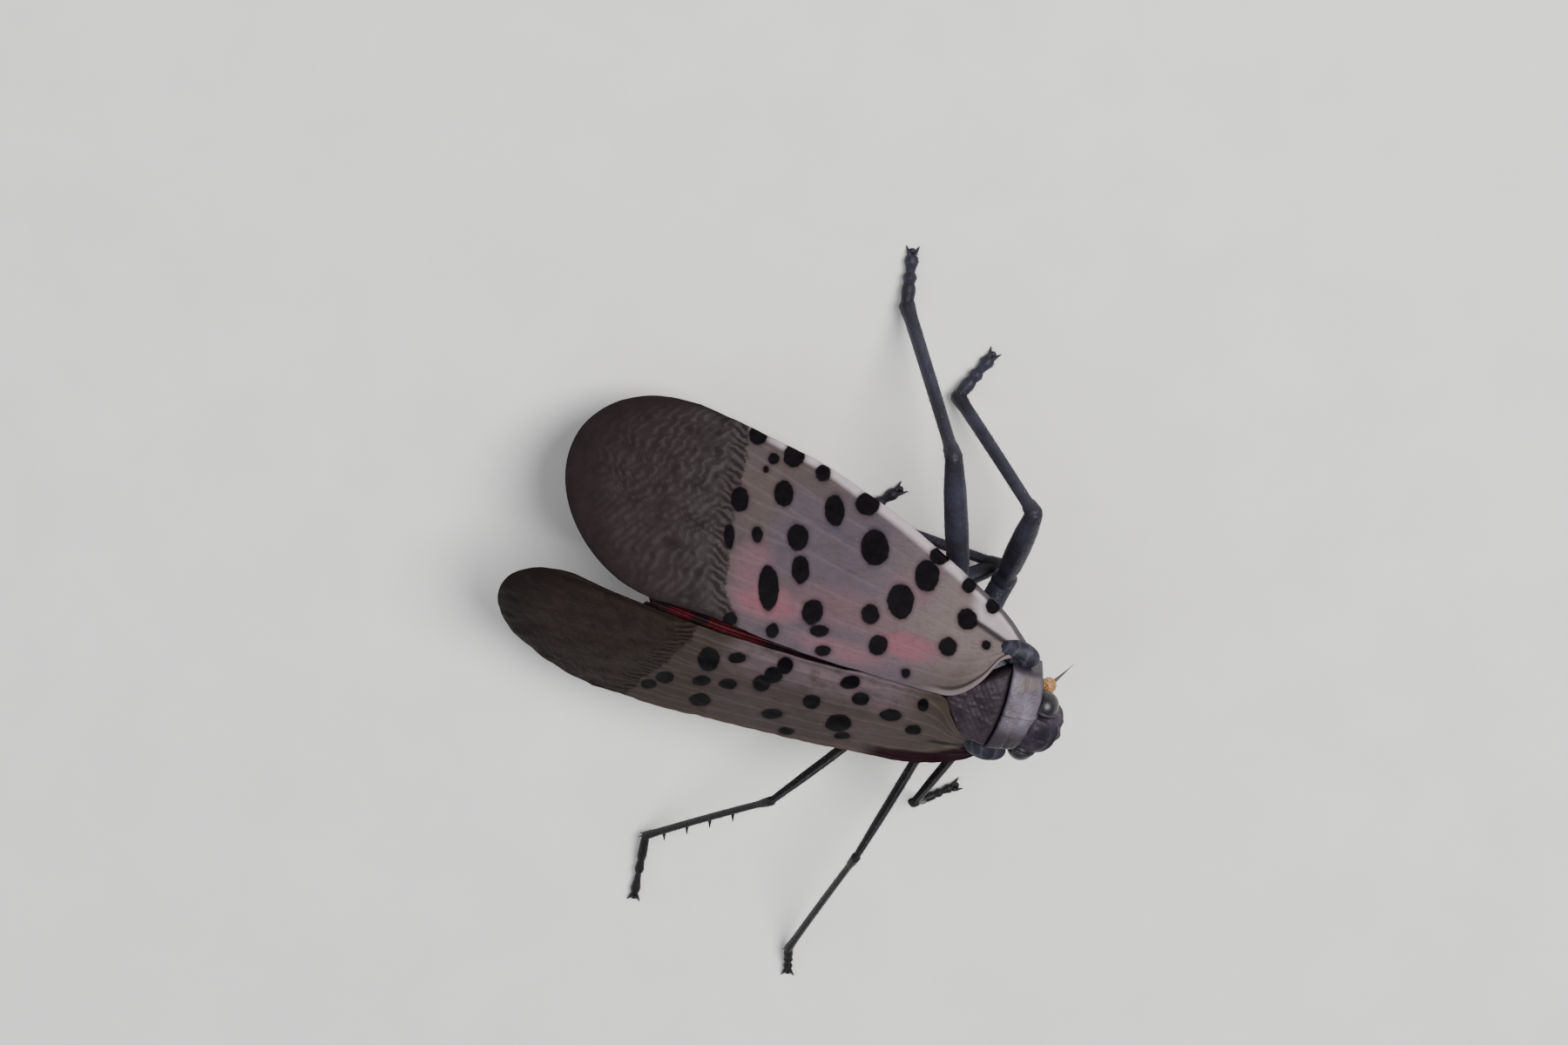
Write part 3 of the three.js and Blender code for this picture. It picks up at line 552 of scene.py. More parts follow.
    # Spots with ragged edges and a faint halo
    ragged = spot + (fine - 0.5) * 0.12 + (paint.noise(plan, 1.6, 1.0) - 0.5) * 0.16
    spot_mask = 1 - ragged.rise(-0.03, 0.06)
    halo = (1 - ragged.rise(0.03, 0.22)) * 0.35
    color = paint.blend(halo, color, tones["halo"])
    spot_color = paint.blend(fine.rise(0.4, 0.7), tones["spot"], tones["spot_pale"])
    color = paint.blend(spot_mask, color, spot_color)

    height = fine * 0.5 + hairlines * 0.35 + spot_mask * 0.2 - (1 - crease.rise(0.0, 0.12)) * crease_length
    normal = paint.relief(height, 0.014)
    return paint.finish(color, 0.56 + fine * 0.16, normal, Specular_IOR_Level=0.07)


# Each wing's tones, how strongly some of them show, and where the dark band of its root edge fades
WARM_WING = dict(
    tan=tone(78, 69, 66), greige=tone(76, 66, 69), mauve=tone(80, 71, 79), blue=tone(62, 61, 74),
    pink=tone(100, 76, 84), rose=tone(122, 74, 84), edge=tone(176, 165, 170), freckle=tone(52, 44, 49),
    vein=tone(110, 100, 103), hem=tone(112, 102, 106), crease=tone(32, 27, 34), shade=tone(62, 56, 62),
    root=tone(105, 95, 94), tip=tone(36, 29, 31), tip_brown=tone(45, 36, 38), tip_grey=tone(55, 54, 54),
    tip_rim=tone(30, 23, 25), net=tone(66, 61, 61), halo=tone(46, 30, 38), spot=tone(4, 2, 5),
    spot_pale=tone(13, 8, 13), edge_amount=0.9, hem_amount=1.0, root_shade=0.0, net_amount=0.9,
    outer_grey=1.0, root_light=0.85, rosy_amount=1.0, root_band=(0.2, 0.36),
)
# The right forewing is the same wing as the left, facing away from the light. Its copy of the tones carries
# painted light: tan, root, front edge and tip darker and more olive as painted shade, mauve and blue paler
# to offset the shade the lamps already give it
SHADED_RIGHT_WING = dict(
    WARM_WING, tan=tone(63, 55, 49), greige=tone(59, 51, 48), mauve=tone(98, 84, 90), blue=tone(84, 74, 80),
    pink=tone(98, 78, 84), rose=tone(108, 80, 88), edge=tone(92, 82, 74), freckle=tone(56, 46, 46),
    root=tone(86, 77, 74), tip=tone(34, 27, 25), tip_brown=tone(42, 33, 30), tip_grey=tone(50, 42, 39),
    tip_rim=tone(22, 16, 15), net=tone(54, 45, 41), shade=tone(34, 12, 20), edge_amount=0.3, hem_amount=0.0,
    root_shade=1.0, net_amount=0.55, outer_grey=0.25, root_light=0.45, spot_pale=tone(8, 4, 8),
    rosy_amount=0.3, root_band=(0.1, 0.22),
)


def hindwing_skin():
    """Red with black spots, blackish with painted shade in the gap between the forewings, a pale band, a
    black tip.
    """
    paint = Paint("hindwing_red")
    along = paint.attribute("along")
    across = paint.attribute("across")
    vein = paint.attribute("vein")
    plan = paint.vector(along, across)
    fine = paint.noise(plan, 4.0, 4.0)
    spots = paint.cells(plan, 0.62)
    color = paint.blend(fine.rise(0.35, 0.7), tone(62, 8, 21), tone(88, 15, 28))
    spot_mask = (1 - spots.rise(0.24, 0.29)) * (1 - along.rise(6.2, 6.8))
    color = paint.blend(spot_mask, color, tone(20, 10, 15))
    pale = along.rise(9.9, 10.4) * across.rise(2.0, 3.4)
    color = paint.blend(pale, color, tone(180, 170, 160))
    dark_tip = along.rise(11.6, 12.2) * across.rise(1.0, 2.0)
    color = paint.blend(dark_tip, color, tone(30, 22, 26))
    # Painted shade: near the ridge, where it shows between the forewings, the hindwing is darkened
    painted_gap_shade = 1 - across.rise(0.7, 1.1)
    front_part = 1 - along.rise(8.1, 8.7)
    bar = (1 - (along - 11.2).size().rise(0.25, 0.45)).larger(along.rise(12.5, 12.8))
    color = paint.blend(painted_gap_shade * front_part.larger(bar) * 0.92, color, tone(26, 12, 19))
    color = paint.blend(vein.rise(0.3, 0.9) * 0.5, color, tone(46, 7, 14))
    normal = paint.relief(fine, 0.03)
    return paint.finish(color, 0.5 + fine * 0.15, normal, Specular_IOR_Level=0.3)


def abdomen_skin():
    paint = Paint("abdomen_bands")
    place = paint.place()
    band = paint.attribute("band")
    under = paint.attribute("under")
    fine = paint.noise(place, 2600.0, 4.0)
    waver = (paint.noise(place, 900.0, 2.0) - 0.5) * 0.3
    color = paint.blend(fine.rise(0.3, 0.7), tone(196, 150, 34), tone(226, 184, 72))
    black = (1 - (band + waver).rise(0.5, 0.62)) * (1 - under * 0.4)
    color = paint.blend(black, color, tone(26, 22, 26))
    normal = paint.relief(fine, 0.04)
    return paint.finish(color, 0.42 + fine * 0.2, normal)


# Mesh helpers

def between(pairs, x):
    """A value read off a list of (x, y) pairs, eased a little at each pair."""
    xs = np.array([p[0] for p in pairs], float)
    ys = np.array([p[1] for p in pairs], float)
    x = np.clip(np.asarray(x, float), xs[0], xs[-1])
    index = np.clip(np.searchsorted(xs, x, side="left") - 1, 0, len(xs) - 2)
    t = (x - xs[index]) / (xs[index + 1] - xs[index])
    eased = 0.5 * t * t * (3 - 2 * t) + 0.5 * t
    return ys[index] + (ys[index + 1] - ys[index]) * eased


def soft(t):
    """A soft step from 0 at 0 to 1 at 1."""
    t = np.clip(t, 0.0, 1.0)
    return t * t * (3 - 2 * t)


def unit(vector):
    vector = np.asarray(vector, float)
    return vector / np.linalg.norm(vector)


def flat_points(along, across):
    return np.stack([along, across, np.zeros(along.shape)], -1)


def ripple(points, scale, seed):
    """Smooth, repeatable unevenness between about -1 and 1."""
    random = np.random.default_rng(seed)
    total = np.zeros(points.shape[:-1])
    for octave in range(4):
        direction = random.normal(size=(3, 3)) * scale * (1.7 ** octave)
        phases = random.uniform(0, 2 * math.pi, 3)
        total += np.prod(np.sin(points @ direction.T + phases), axis=-1) / (1.3 ** octave)
    return total


class Shell:
    """Closed forms gathered into one mesh, with values kept for each point."""

    def __init__(self):
        self.points = []
        self.faces = []
        self.values = {}
        self.count = 0

    def add(self, points, faces, **values):
        points = np.asarray(points, float).reshape(-1, 3)
        self.faces += [[i + self.count for i in face] for face in faces]
        self.points.append(points)
        for name, value in values.items():
            shape = (len(points), 3) if name == "lie" else (len(points),)
            self.values.setdefault(name, []).append(np.broadcast_to(value, shape))
        self.count += len(points)

    def loft(self, rings, **values):
        """A skin over closed rings, with a point closing each end."""
        rings = np.asarray(rings, float)
        rows, sides = rings.shape[:2]
        points = rings.reshape(-1, 3)
        faces = []
        for row in range(rows - 1):
            for side in range(sides):
                a = row * sides + side
                b = row * sides + (side + 1) % sides
                faces.append((a, b, b + sides, a + sides))
        ends = [rings[0].mean(0), rings[-1].mean(0)]
        last = (rows - 1) * sides
        for side in range(sides):
            following = (side + 1) % sides
            faces.append((following, side, len(points)))
            faces.append((last + side, last + following, len(points) + 1))
        full = {}
        for name, value in values.items():
            parts = (3,) if name == "lie" else ()
            body = np.broadcast_to(np.asarray(value, float), (rows, sides, *parts)).reshape(-1, *parts)
            full[name] = np.concatenate([body, body[:1], body[-1:]])
        self.add(np.concatenate([points, ends]), faces, **full)

    def sheet(self, upper, lower, **values):
        """Two grids of points with a rim between them, as one thin closed form."""
        rows, columns = upper.shape[:2]
        count = rows * columns
        faces = []
        for row in range(rows - 1):
            for column in range(columns - 1):
                a = row * columns + column
                faces.append((a, a + 1, a + columns + 1, a + columns))
                b = a + count
                faces.append((b + 1, b, b + columns, b + columns + 1))
        rim = list(range(columns))
        rim += [row * columns + columns - 1 for row in range(1, rows)]
        rim += [(rows - 1) * columns + column for column in range(columns - 2, -1, -1)]
        rim += [row * columns for row in range(rows - 2, 0, -1)]
        for a, b in zip(rim, rim[1:] + rim[:1]):
            faces.append((b, a, a + count, b + count))
        points = np.concatenate([upper.reshape(-1, 3), lower.reshape(-1, 3)])
        doubled = {name: np.concatenate([v.reshape(-1), v.reshape(-1)]) for name, v in values.items()}
        self.add(points, faces, **doubled)

    def make(self, name, material, slot, *nodes):
        """The finished object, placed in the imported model's frame."""
        points = np.concatenate(self.points) * MM + ORIGIN
        mesh = bpy.data.meshes.new(name)
        mesh.from_pydata(points.tolist(), [], self.faces)
        for key, parts in self.values.items():
            values = np.concatenate(parts).astype(np.float32)
            vector = values.ndim == 2
            kind = "FLOAT_VECTOR" if vector else "FLOAT"
            attribute = mesh.attributes.new(key, kind, "POINT")
            attribute.data.foreach_set("vector" if vector else "value", values.ravel())
        mesh.materials.append(material)
        piece = bpy.data.objects.new(name, mesh)
        bpy.context.scene.collection.objects.link(piece)
        outward(mesh)
        mesh.shade_smooth()
        if nodes:
            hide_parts(*nodes)
        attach(piece, ROOT)
        return piece


def outward(mesh):
    """Turns every face of a closed mesh to the outside."""
    work = bmesh.new()
    work.from_mesh(mesh)
    bmesh.ops.recalc_face_normals(work, faces=work.faces)
    work.to_mesh(mesh)
    work.free()


def ellipsoid_rings(centre, radii, sides=28, rows=18):
    polar = np.pi * np.arange(1, rows) / rows
    turn = 2 * np.pi * np.arange(sides) / sides
    x = np.outer(np.sin(polar), np.cos(turn))
    y = np.outer(np.sin(polar), np.sin(turn))
    z = np.outer(np.cos(polar), np.ones(sides))
    return np.stack([x, y, z], -1) * np.array(radii) + np.array(centre)


def sweep(path, radii, sides=18, keels=0.0, flat=1.0):
    """Rings along a path, with rounded ends; keels gives the section raised edges."""
    path = np.asarray(path, float)
    radii = np.asarray(radii, float)
    first = unit(path[1] - path[0])
    last = unit(path[-1] - path[-2])
    caps = np.radians(CAP_ANGLES)
    start = [path[0] - first * radii[0] * math.cos(c) * 0.8 for c in caps]
    end = [path[-1] + last * radii[-1] * math.cos(c) * 0.8 for c in caps[::-1]]
    path = np.array([*start, *path, *end])
    radii = np.concatenate([radii[0] * np.sin(caps), radii, radii[-1] * np.sin(caps[::-1])])
    tangent = np.gradient(path, axis=0)
    tangent /= np.linalg.norm(tangent, axis=1)[:, None]
    helper = np.array([0.0, 0.0, 1.0]) if abs(tangent[0][2]) < 0.9 else np.array([0.0, 1.0, 0.0])
    across = unit(np.cross(tangent[0], helper))
    turn = 2 * np.pi * np.arange(sides) / sides
    section = 1 + keels * np.cos(2 * turn) ** 4
    rings = []
    for centre, direction, radius in zip(path, tangent, radii):
        across = unit(across - direction * (across @ direction))
        up = np.cross(across, direction)
        ring = centre + radius * section[:, None] * (
            np.outer(np.cos(turn), across) * flat + np.outer(np.sin(turn), up)
        )
        rings.append(ring)
    rings = np.array(rings)
    return rings, np.repeat(tangent[:, None, :], sides, axis=1)


# Torso, abdomen and the plates over them

def torso_swell(y, grow):
    middle = (TORSO["front"] + TORSO["rear"]) / 2
    half = (TORSO["rear"] - TORSO["front"]) / 2 + grow
    along = (y - middle) / half
    swell = np.sqrt(np.maximum(0.0001, 1 - np.abs(along) ** 3.2))
    width = TORSO["half_width"] * (1 - TORSO["neck"] * np.maximum(0, -along)) + grow
    return swell, width * swell


def dome_height(x, y, grow):
    """The height of the torso's upper skin, grown outwards."""
    swell, width = torso_swell(y, grow)
    share = np.clip(np.abs(x) / width, 0, 0.999)
    box = TORSO["box"]
    return TORSO["middle_z"] + (TORSO["up"] + grow) * swell * (1 - share ** box) ** (1 / box)


def boxed(value):
    """A sine or cosine squared off, for the torso's boxy section."""
    return np.sign(value) * np.abs(value) ** (2 / TORSO["box"])


def make_torso(material):
    """Thorax with its side plates parted by sutures, and a soft neck."""
    shell = Shell()
    rows = 84
    sides = 96
    t = (1 - np.cos(np.pi * np.arange(1, rows) / rows)) / 2
    y = TORSO["front"] - 0.25 + (TORSO["rear"] - TORSO["front"] + 0.5) * t
    turn = 2 * np.pi * np.arange(sides) / sides
    grow = 0.12
    swell, width = torso_swell(y, grow + 0.13)
    height = np.where(np.sin(turn) > 0, TORSO["up"], TORSO["down"]) + grow
    x = np.outer(width, boxed(np.cos(turn)))
    z = TORSO["middle_z"] + np.outer(swell, height * boxed(np.sin(turn)))
    yy = np.repeat(y[:, None], sides, axis=1)
    points = np.stack([x, yy, z], -1)
    sutures = sum(
        np.exp(-((yy - place - 0.28 * (z - 5.5)) / 0.09) ** 2) for place in (-2.5, -0.75, 0.75)
    )
    waist = np.exp(-((z - 5.0) / 0.12) ** 2) * (np.abs(x) > 1.2)
    dent = 0.12 * sutures + 0.09 * waist + 0.035 * ripple(points, 1.6, 3)
    outward_way = points - np.array([0, 0, TORSO["middle_z"]])
    outward_way[..., 1] = 0
    outward_way /= np.linalg.norm(outward_way, axis=-1)[..., None] + 1e-9
    points = points - outward_way * dent[..., None]
    shell.loft(points, lie=np.array([0.0, 1.0, -0.2]))
    rings, _ = sweep(NECK, [0.85, 0.82, 0.8], 40)
    shell.loft(rings, lie=np.array([0.0, 1.0, 0.0]))
    return shell.make("thorax_skin", material, "cuticle", "thorax")


def make_abdomen(material):
    """Rings that overlap towards the rear, yellow behind each black band."""
    shell = Shell()
    sides = 88
    steps = 14
    length = ABDOMEN["rear"] - ABDOMEN["front"]
    turn = 2 * np.pi * np.arange(sides) / sides
    rings, bands = [], []
    for segment in range(ABDOMEN["segments"]):
        for step in range(steps):
            share = (step + 0.5) / steps
            t = (segment + share) / ABDOMEN["segments"]
            swell = math.sin(math.pi * (0.16 + 0.8 * t)) ** 0.62
            lift = 0.1 * soft(share / 0.25) + 0.03 * share - 0.12 * soft((share - 0.93) / 0.07)
            height = np.where(np.sin(turn) > 0, ABDOMEN["up"], ABDOMEN["down"])
            fold = 0.1 * np.exp(-((np.abs(np.sin(turn)) - 0.1) / 0.1) ** 2)
            x = (ABDOMEN["half_width"] * swell + lift - fold) * np.cos(turn)
            z = ABDOMEN["middle_z"] - 0.5 * t + (height * swell + lift) * np.sin(turn)
            ring = np.stack([x, np.full(sides, ABDOMEN["front"] + length * t), z], -1)
            rings.append(ring)
            bands.append(np.full(sides, share))
    tail = rings[-1].copy()
    tail[:, 1] += 0.12
    tail[:, [0, 2]] = tail.mean(0)[[0, 2]] + (tail[:, [0, 2]] - tail.mean(0)[[0, 2]]) * 0.6
    rings.append(tail)
    bands.append(np.full(sides, 1.0))
    rings = np.array(rings)
    rings += 0.02 * ripple(rings, 2.4, 8)[..., None] * np.array([0.5, 0.0, 1.0])
    under = np.broadcast_to((np.sin(turn) < -0.3).astype(float), (len(rings), sides))
    shell.loft(rings, band=np.array(bands), under=under)
    shell.make("abdomen_rings", material, "abdomen", "abdomen")


def collar(x, y):
    """A line across the collar, bowed towards the head in its middle."""
    return y - PRONOTUM["rear_sag"] * np.cos(np.pi * np.clip(x / (2 * PRONOTUM["half_width"]), -0.5, 0.5))


def plate(name, material, slot, node, front, rear, half_width, relief, rows=70, columns=110):
    """A curved plate over the torso, thick in its middle and turned down at its edges."""
    shell = Shell()
    u = np.linspace(-1, 1, columns)
    v = np.linspace(0, 1, rows)
    v_grid, u_grid = np.meshgrid(v, u, indexing="ij")
    width = half_width(u_grid, v_grid)
    x = u_grid * width
    y = front(x) + (rear(x) - front(x)) * v_grid
    edge_side = (1 - np.abs(u_grid)) * width
    edge_end = np.minimum(v_grid, 1 - v_grid) * np.abs(rear(x) - front(x))
    edge = np.minimum(edge_side, edge_end)
    rounded = np.sqrt(np.clip(1 - (1 - np.clip(edge / 0.22, 0, 1)) ** 2, 0, 1))
    top = dome_height(x, y, PLATE_TOP) - 0.22 * (1 - rounded) + relief(x, y) * rounded
    bottom = dome_height(x, y, 0.05)
    top = np.maximum(top, bottom + 0.08)
    upper = np.stack([x, y, top], -1)
    lower = np.stack([x, y, bottom], -1)
    shell.sheet(upper, lower, across=x, edge=edge)
    shell.make(name, material, slot, node)


def make_pronotum(material):
    half = PRONOTUM["half_width"]

    def relief(x, y):
        points = flat_points(x, y)
        keel = 0.09 * np.exp(-(x / 0.07) ** 2)
        dimples = -0.13 * np.exp(-(((np.abs(x) - 0.75) / 0.3) ** 2 + ((y + 3.35) / 0.22) ** 2))
        furrow = -0.07 * np.exp(-((y + 2.95 + 0.15 * np.cos(x)) / 0.07) ** 2)
        return keel + dimples + furrow + 0.03 * ripple(points, 3.2, 11)

    plate(
        "pronotum_plate", material, "pronotum", "pronotum",
        lambda x: PRONOTUM["front"] + PRONOTUM["front_sag"] * (x / half) ** 2,
        lambda x: collar(x, PRONOTUM["rear"]),
        lambda u, v: half * (0.93 + 0.07 * v), relief,
    )


def make_shield(material):
    half = SHIELD["half_width"]

    def outline(u, v):
        roundness = np.where(u > 0, SHIELD["left_roundness"], SHIELD["right_roundness"])
        return np.maximum(half * (1 - v ** roundness), 0.05)

    def relief(x, y):
        points = flat_points(x, y)
        side_keel = 0.02 * np.exp(-((np.abs(x) - 0.62 + 0.22 * (y + 2)) / 0.07) ** 2)
        keel = 0.025 * np.exp(-(x / 0.08) ** 2)
        scutum = -0.04 * np.exp(-((y + 0.55) / 0.12) ** 2) * (np.abs(x) < 0.9)
        return keel + side_keel + scutum + 0.03 * ripple(points, 3.0, 21)

    plate(
        "shield_plate", material, "shield", "mesonotum",
        lambda x: collar(x, PRONOTUM["rear"] + 0.03),
        lambda x: np.full_like(x, SHIELD["apex"]),
        outline, relief,
    )


# Head

def head_matrix():
    neck = Vector(HEAD["neck"])
    return (
        Matrix.Translation(neck + Vector(HEAD["shift"]))
        @ Matrix.Rotation(math.radians(HEAD["yaw"]), 4, "Z")
        @ Matrix.Rotation(math.radians(-HEAD["roll"]), 4, "Y")
        @ Matrix.Translation(-neck)
    )


HEAD_TURN = np.array(head_matrix())


def turned(points):
    """Points of the head, brought to the way the head is held."""
    points = np.asarray(points, float)
    return points @ HEAD_TURN[:3, :3].T + HEAD_TURN[:3, 3]


def head_rings(rows=110, sides=132):
    levels = np.array(HEAD_SECTIONS)
    t = np.linspace(0, 1, rows)
    z = levels[0, 0] + (levels[-1, 0] - levels[0, 0]) * (0.5 - 0.5 * np.cos(np.pi * t)) ** 0.9
    order = levels[::-1]
    width = between(list(zip(order[:, 0], order[:, 1])), z)
    depth = between(list(zip(order[:, 0], order[:, 2])), z)
    middle = between(list(zip(order[:, 0], order[:, 3])), z)
    turn = 2 * np.pi * np.arange(sides) / sides
    flat = (np.abs(np.cos(turn)) ** 2.4 + np.abs(np.sin(turn)) ** 2.4) ** (-1 / 2.4)
    degrees = np.degrees(turn)
    zz = np.repeat(z[:, None], sides, axis=1)
    face = np.broadcast_to(np.abs((degrees - 270 + 540) % 360 - 180), zz.shape)

    def level(low, high):
        return soft((zz - low) / 0.4) * soft((high - zz) / 0.3)

    def bump(value, place, spread):
        return np.exp(-((value - place) / spread) ** 2)

    keel = 0.06 * bump(face, 0, 4.5) * level(4.9, 7.2)
    side_keels = 0.09 * bump(face, 40, 5.0) * level(5.0, 7.15)
    brow = 0.06 * bump(zz, 7.22, 0.07) * (face < 75)
    hollows = -0.06 * bump(face, 21, 11) * level(5.3, 7.2)
    suture = -0.09 * bump(zz, 5.22 + 0.0006 * face ** 1.6, 0.05) * (face < 62)
    clypeus = 0.1 * bump(zz, 4.85, 0.26) * bump(face, 0, 40)
    mouth = -0.1 * bump(zz, 4.4, 0.05)
    cheek = 0.07 * bump(face, 88, 16) * bump(zz, 5.35, 0.3)
    socket = 0.1 * bump(face, 84, 15) * bump(zz, 6.05, 0.1)
    points = np.stack([width[:, None] * flat * np.cos(turn), depth[:, None] * flat * np.sin(turn), zz], -1)
    folds = 0.02 * ripple(points, 1.9, 31) + 0.008 * np.sin(zz * 42 + 3 * points[..., 0]) * (face < 38)
    swell = keel + side_keels + brow + hollows + suture + clypeus + mouth + cheek + socket + folds
    points[..., 0] += swell * np.cos(turn)
    points[..., 1] += swell * np.sin(turn) + middle[:, None]
    crown = soft((zz - 7.25) / 0.35)
    points[..., 2] -= 0.08 * crown * bump(points[..., 0], 0, 0.12)
    return points, face


def make_head(material):
    shell = Shell()
    points, face = head_rings()
    shell.loft(turned(points), face=face / 180, lie=np.array([0.0, 0.3, -1.0]))
    return shell.make("head_capsule", material, "cuticle", "head")


def ring_round_eye(side, steps=64, corners=12):
    """A low ridge round the rim of the eye, as points and faces."""
    x, y, z = EYE["place"]
    reach = EYE["radii"]
    inset = 0.1
    circle = math.sqrt(1 - (inset / reach[0]) ** 2)
    turn = np.linspace(0, 2 * np.pi, steps + 1)[:-1]
    tube = 2 * np.pi * np.arange(corners) / corners
    points, faces = [], []
    for i, angle in enumerate(turn):
        place = np.array([0, np.cos(angle) * reach[1] * circle, np.sin(angle) * reach[2] * circle])
        middle = np.array([side * (x - inset * 0.6), y, z]) + place
        for corner in tube:
            sideways = np.array([side * 0.09 * math.cos(corner), 0, 0])
            points.append(middle + sideways + unit(place) * 0.07 * math.sin(corner))
        for j in range(corners):
            following = (i + 1) % steps * corners
            beside = (j + 1) % corners
            faces.append((i * corners + j, i * corners + beside, following + beside, following + j))
    return points, faces


def make_eye(name, side, material, rim_material):
    """The eye, the ridge round it and the small simple eye below it."""
    x, y, z = EYE["place"]
    shell = Shell()
    rings = ellipsoid_rings((0, 0, 0), (1, 1, 1), 56, 40)
    bulge = 1 - 0.05 * np.clip(-rings[..., 2], 0, 1)
    rings = rings * bulge[..., None] * np.array(EYE["radii"]) + np.array((side * x, y, z))
    shell.loft(turned(rings))
    shell.make(f"eye_ball_{name}", material, "eye", f"eye_{name}")
    rim = Shell()
    points, faces = ring_round_eye(side)
    rim.add(turned(points), faces)
    rings = ellipsoid_rings((side * (x - 0.12), y - 0.42, z - 0.72), (0.12, 0.12, 0.12), 20, 12)
    rim.loft(turned(rings))
    rim.make(f"eye_rim_{name}", rim_material, "cuticle")


def make_antenna(name, side, material, dark):
    """The pimpled bulb on its short stem, and the bristle that grows from it."""
    x, y, z = ANTENNA["place"]
    bulb = ANTENNA["bulb"]
    radii = np.array([bulb, bulb * 0.96, bulb * 1.08])
    shell = Shell()
    centre = np.array([side * x, y, z])
    rings = ellipsoid_rings(centre, radii, 44, 30)
    rings = rings + (rings - centre) * (0.04 * ripple(rings, 7.0, 41)[..., None])
    shell.loft(turned(rings))
    golden = math.pi * (3 - math.sqrt(5))
    for i in range(ANTENNA["pimples"]):
        height = 1 - 2 * (i + 0.5) / ANTENNA["pimples"]
        radius = math.sqrt(1 - height * height)
        way = np.array([radius * math.cos(golden * i), radius * math.sin(golden * i), height])
        shell.loft(turned(ellipsoid_rings(centre + way * radii, (ANTENNA["pimple"],) * 3, 8, 6)))
    shell.make(f"antenna_bulb_{name}", material, "antenna", f"antenna_{name}")
    thin = Shell()
    root = centre + np.array([-side * 0.62, 0.08, 0.05])
    rings, _ = sweep([root, centre * 0.5 + root * 0.5, centre], [0.25, 0.23, 0.2], 28)
    thin.loft(turned(rings))
    knob = centre + np.array([side * 0.18, -0.2, -0.3])
    end = knob + np.array([side * 0.34, -0.4, -0.75]) * ANTENNA["bristle"] / 0.95
    t = np.linspace(0, 1, 16)[:, None]
    path = knob + (end - knob) * t + np.array([side * 0.12, 0, 0.1]) * np.sin(math.pi * t)
    rings, _ = sweep(path, 0.07 * (1 - t[:, 0]) ** 1.6 + 0.012, 10)
    thin.loft(turned(rings))
    thin.make(f"antenna_stem_{name}", dark, "antenna")


def make_rostrum(material):
    """The beak: from under the face back between the legs, in three lengths."""
    shell = Shell()
    root = turned(ROSTRUM["root"])
    bend = np.array(ROSTRUM["bend"])
    tip = np.array(ROSTRUM["tip"])
    lengths = [
        (root, bend, 0.34, 0.29), (bend + [0, -0.05, 0], bend * 0.45 + tip * 0.55, 0.3, 0.25),
        (bend * 0.47 + tip * 0.53, tip, 0.26, 0.13),
    ]
    for start, end, wide, narrow in lengths:
        t = np.linspace(0, 1, 18)
        path = start + (end - start) * t[:, None]
        waist = wide + (narrow - wide) * t - 0.03 * np.sin(math.pi * t)
        rings, _ = sweep(path, waist, 24, 0.04)
        shell.loft(rings, joint=0.0)
    shell.make("rostrum_beak", material, "leg", "rostrum")


# Wings

def curve_points(pairs, count):
    """Evenly spaced points on the smooth curve through a few pairs."""
    pairs = np.array(pairs, float)
    last = len(pairs) - 1
    t = np.linspace(0, last, 900)
    index = np.minimum(t.astype(int), last - 1)
    w = (t - index)[:, None]
    before = pairs[np.maximum(index - 1, 0)]
    a = pairs[index]
    b = pairs[index + 1]
    after = pairs[np.minimum(index + 2, last)]
    va = (b - before) * 0.5
    vb = (after - a) * 0.5
    points = (2 * a - 2 * b + va + vb) * w ** 3 + (-3 * a + 3 * b - 2 * va - vb) * w ** 2 + va * w + a
    run = np.concatenate([[0], np.cumsum(np.linalg.norm(np.diff(points, axis=0), axis=1))])
    wanted = np.linspace(0, run[-1], count)
    return np.stack([np.interp(wanted, run, points[:, 0]), np.interp(wanted, run, points[:, 1])], -1)


def roof(along, across, side):
    """The roof the wings follow. Below 0, across reaches over the ridge and down its other side."""
    start = math.radians(WING["slope_at_ridge"])
    bend = math.radians(WING["slope_at_edge"] - WING["slope_at_ridge"]) / WING["span"]
    turn = start + bend * np.abs(across)
    x = side * np.sign(across) * (np.sin(turn) - math.sin(start)) / bend
    z = between(ROOF, along) + (np.cos(turn) - math.cos(start)) / bend
    return np.stack([x, along, z], -1)


def roof_normal(along, across, side):
    step = 0.02
    across = np.maximum(across, 2 * step)
    back = roof(along + step, across, side) - roof(along - step, across, side)
    down = roof(along, across + step, side) - roof(along, across - step, side)
    normal = np.cross(back, down)
    normal /= np.linalg.norm(normal, axis=-1)[..., None]
    normal *= np.sign(normal[..., 2:])
    share = np.clip(across / 2, 0, 1)[..., None]
    normal = np.array([0, 0, 1.0]) * (1 - share) + normal * share
    return normal / np.linalg.norm(normal, axis=-1)[..., None]


def wing_plan(plan, grid):
    """A wing's grid from root to tip and from inner to front edge, with its width at each row."""
    rows, columns = grid
    inner = curve_points(plan["inner"], rows)[:, None, :]
    costal = curve_points(plan["costal"], rows)[:, None, :]
    s, t = np.meshgrid(np.linspace(0, 1, rows), np.linspace(0, 1, columns), indexing="ij")
    rounding = s * s
    f = t * (1 - rounding) + (1 - np.cos(np.pi * t)) / 2 * rounding
    along = inner[..., 0] * (1 - f) + costal[..., 0] * f + plan["bulge"] * rounding * np.sin(np.pi * t)
    across = inner[..., 1] * (1 - f) + costal[..., 1] * f
    width = np.linalg.norm(costal - inner, axis=-1)
    return s, t, along, across, width


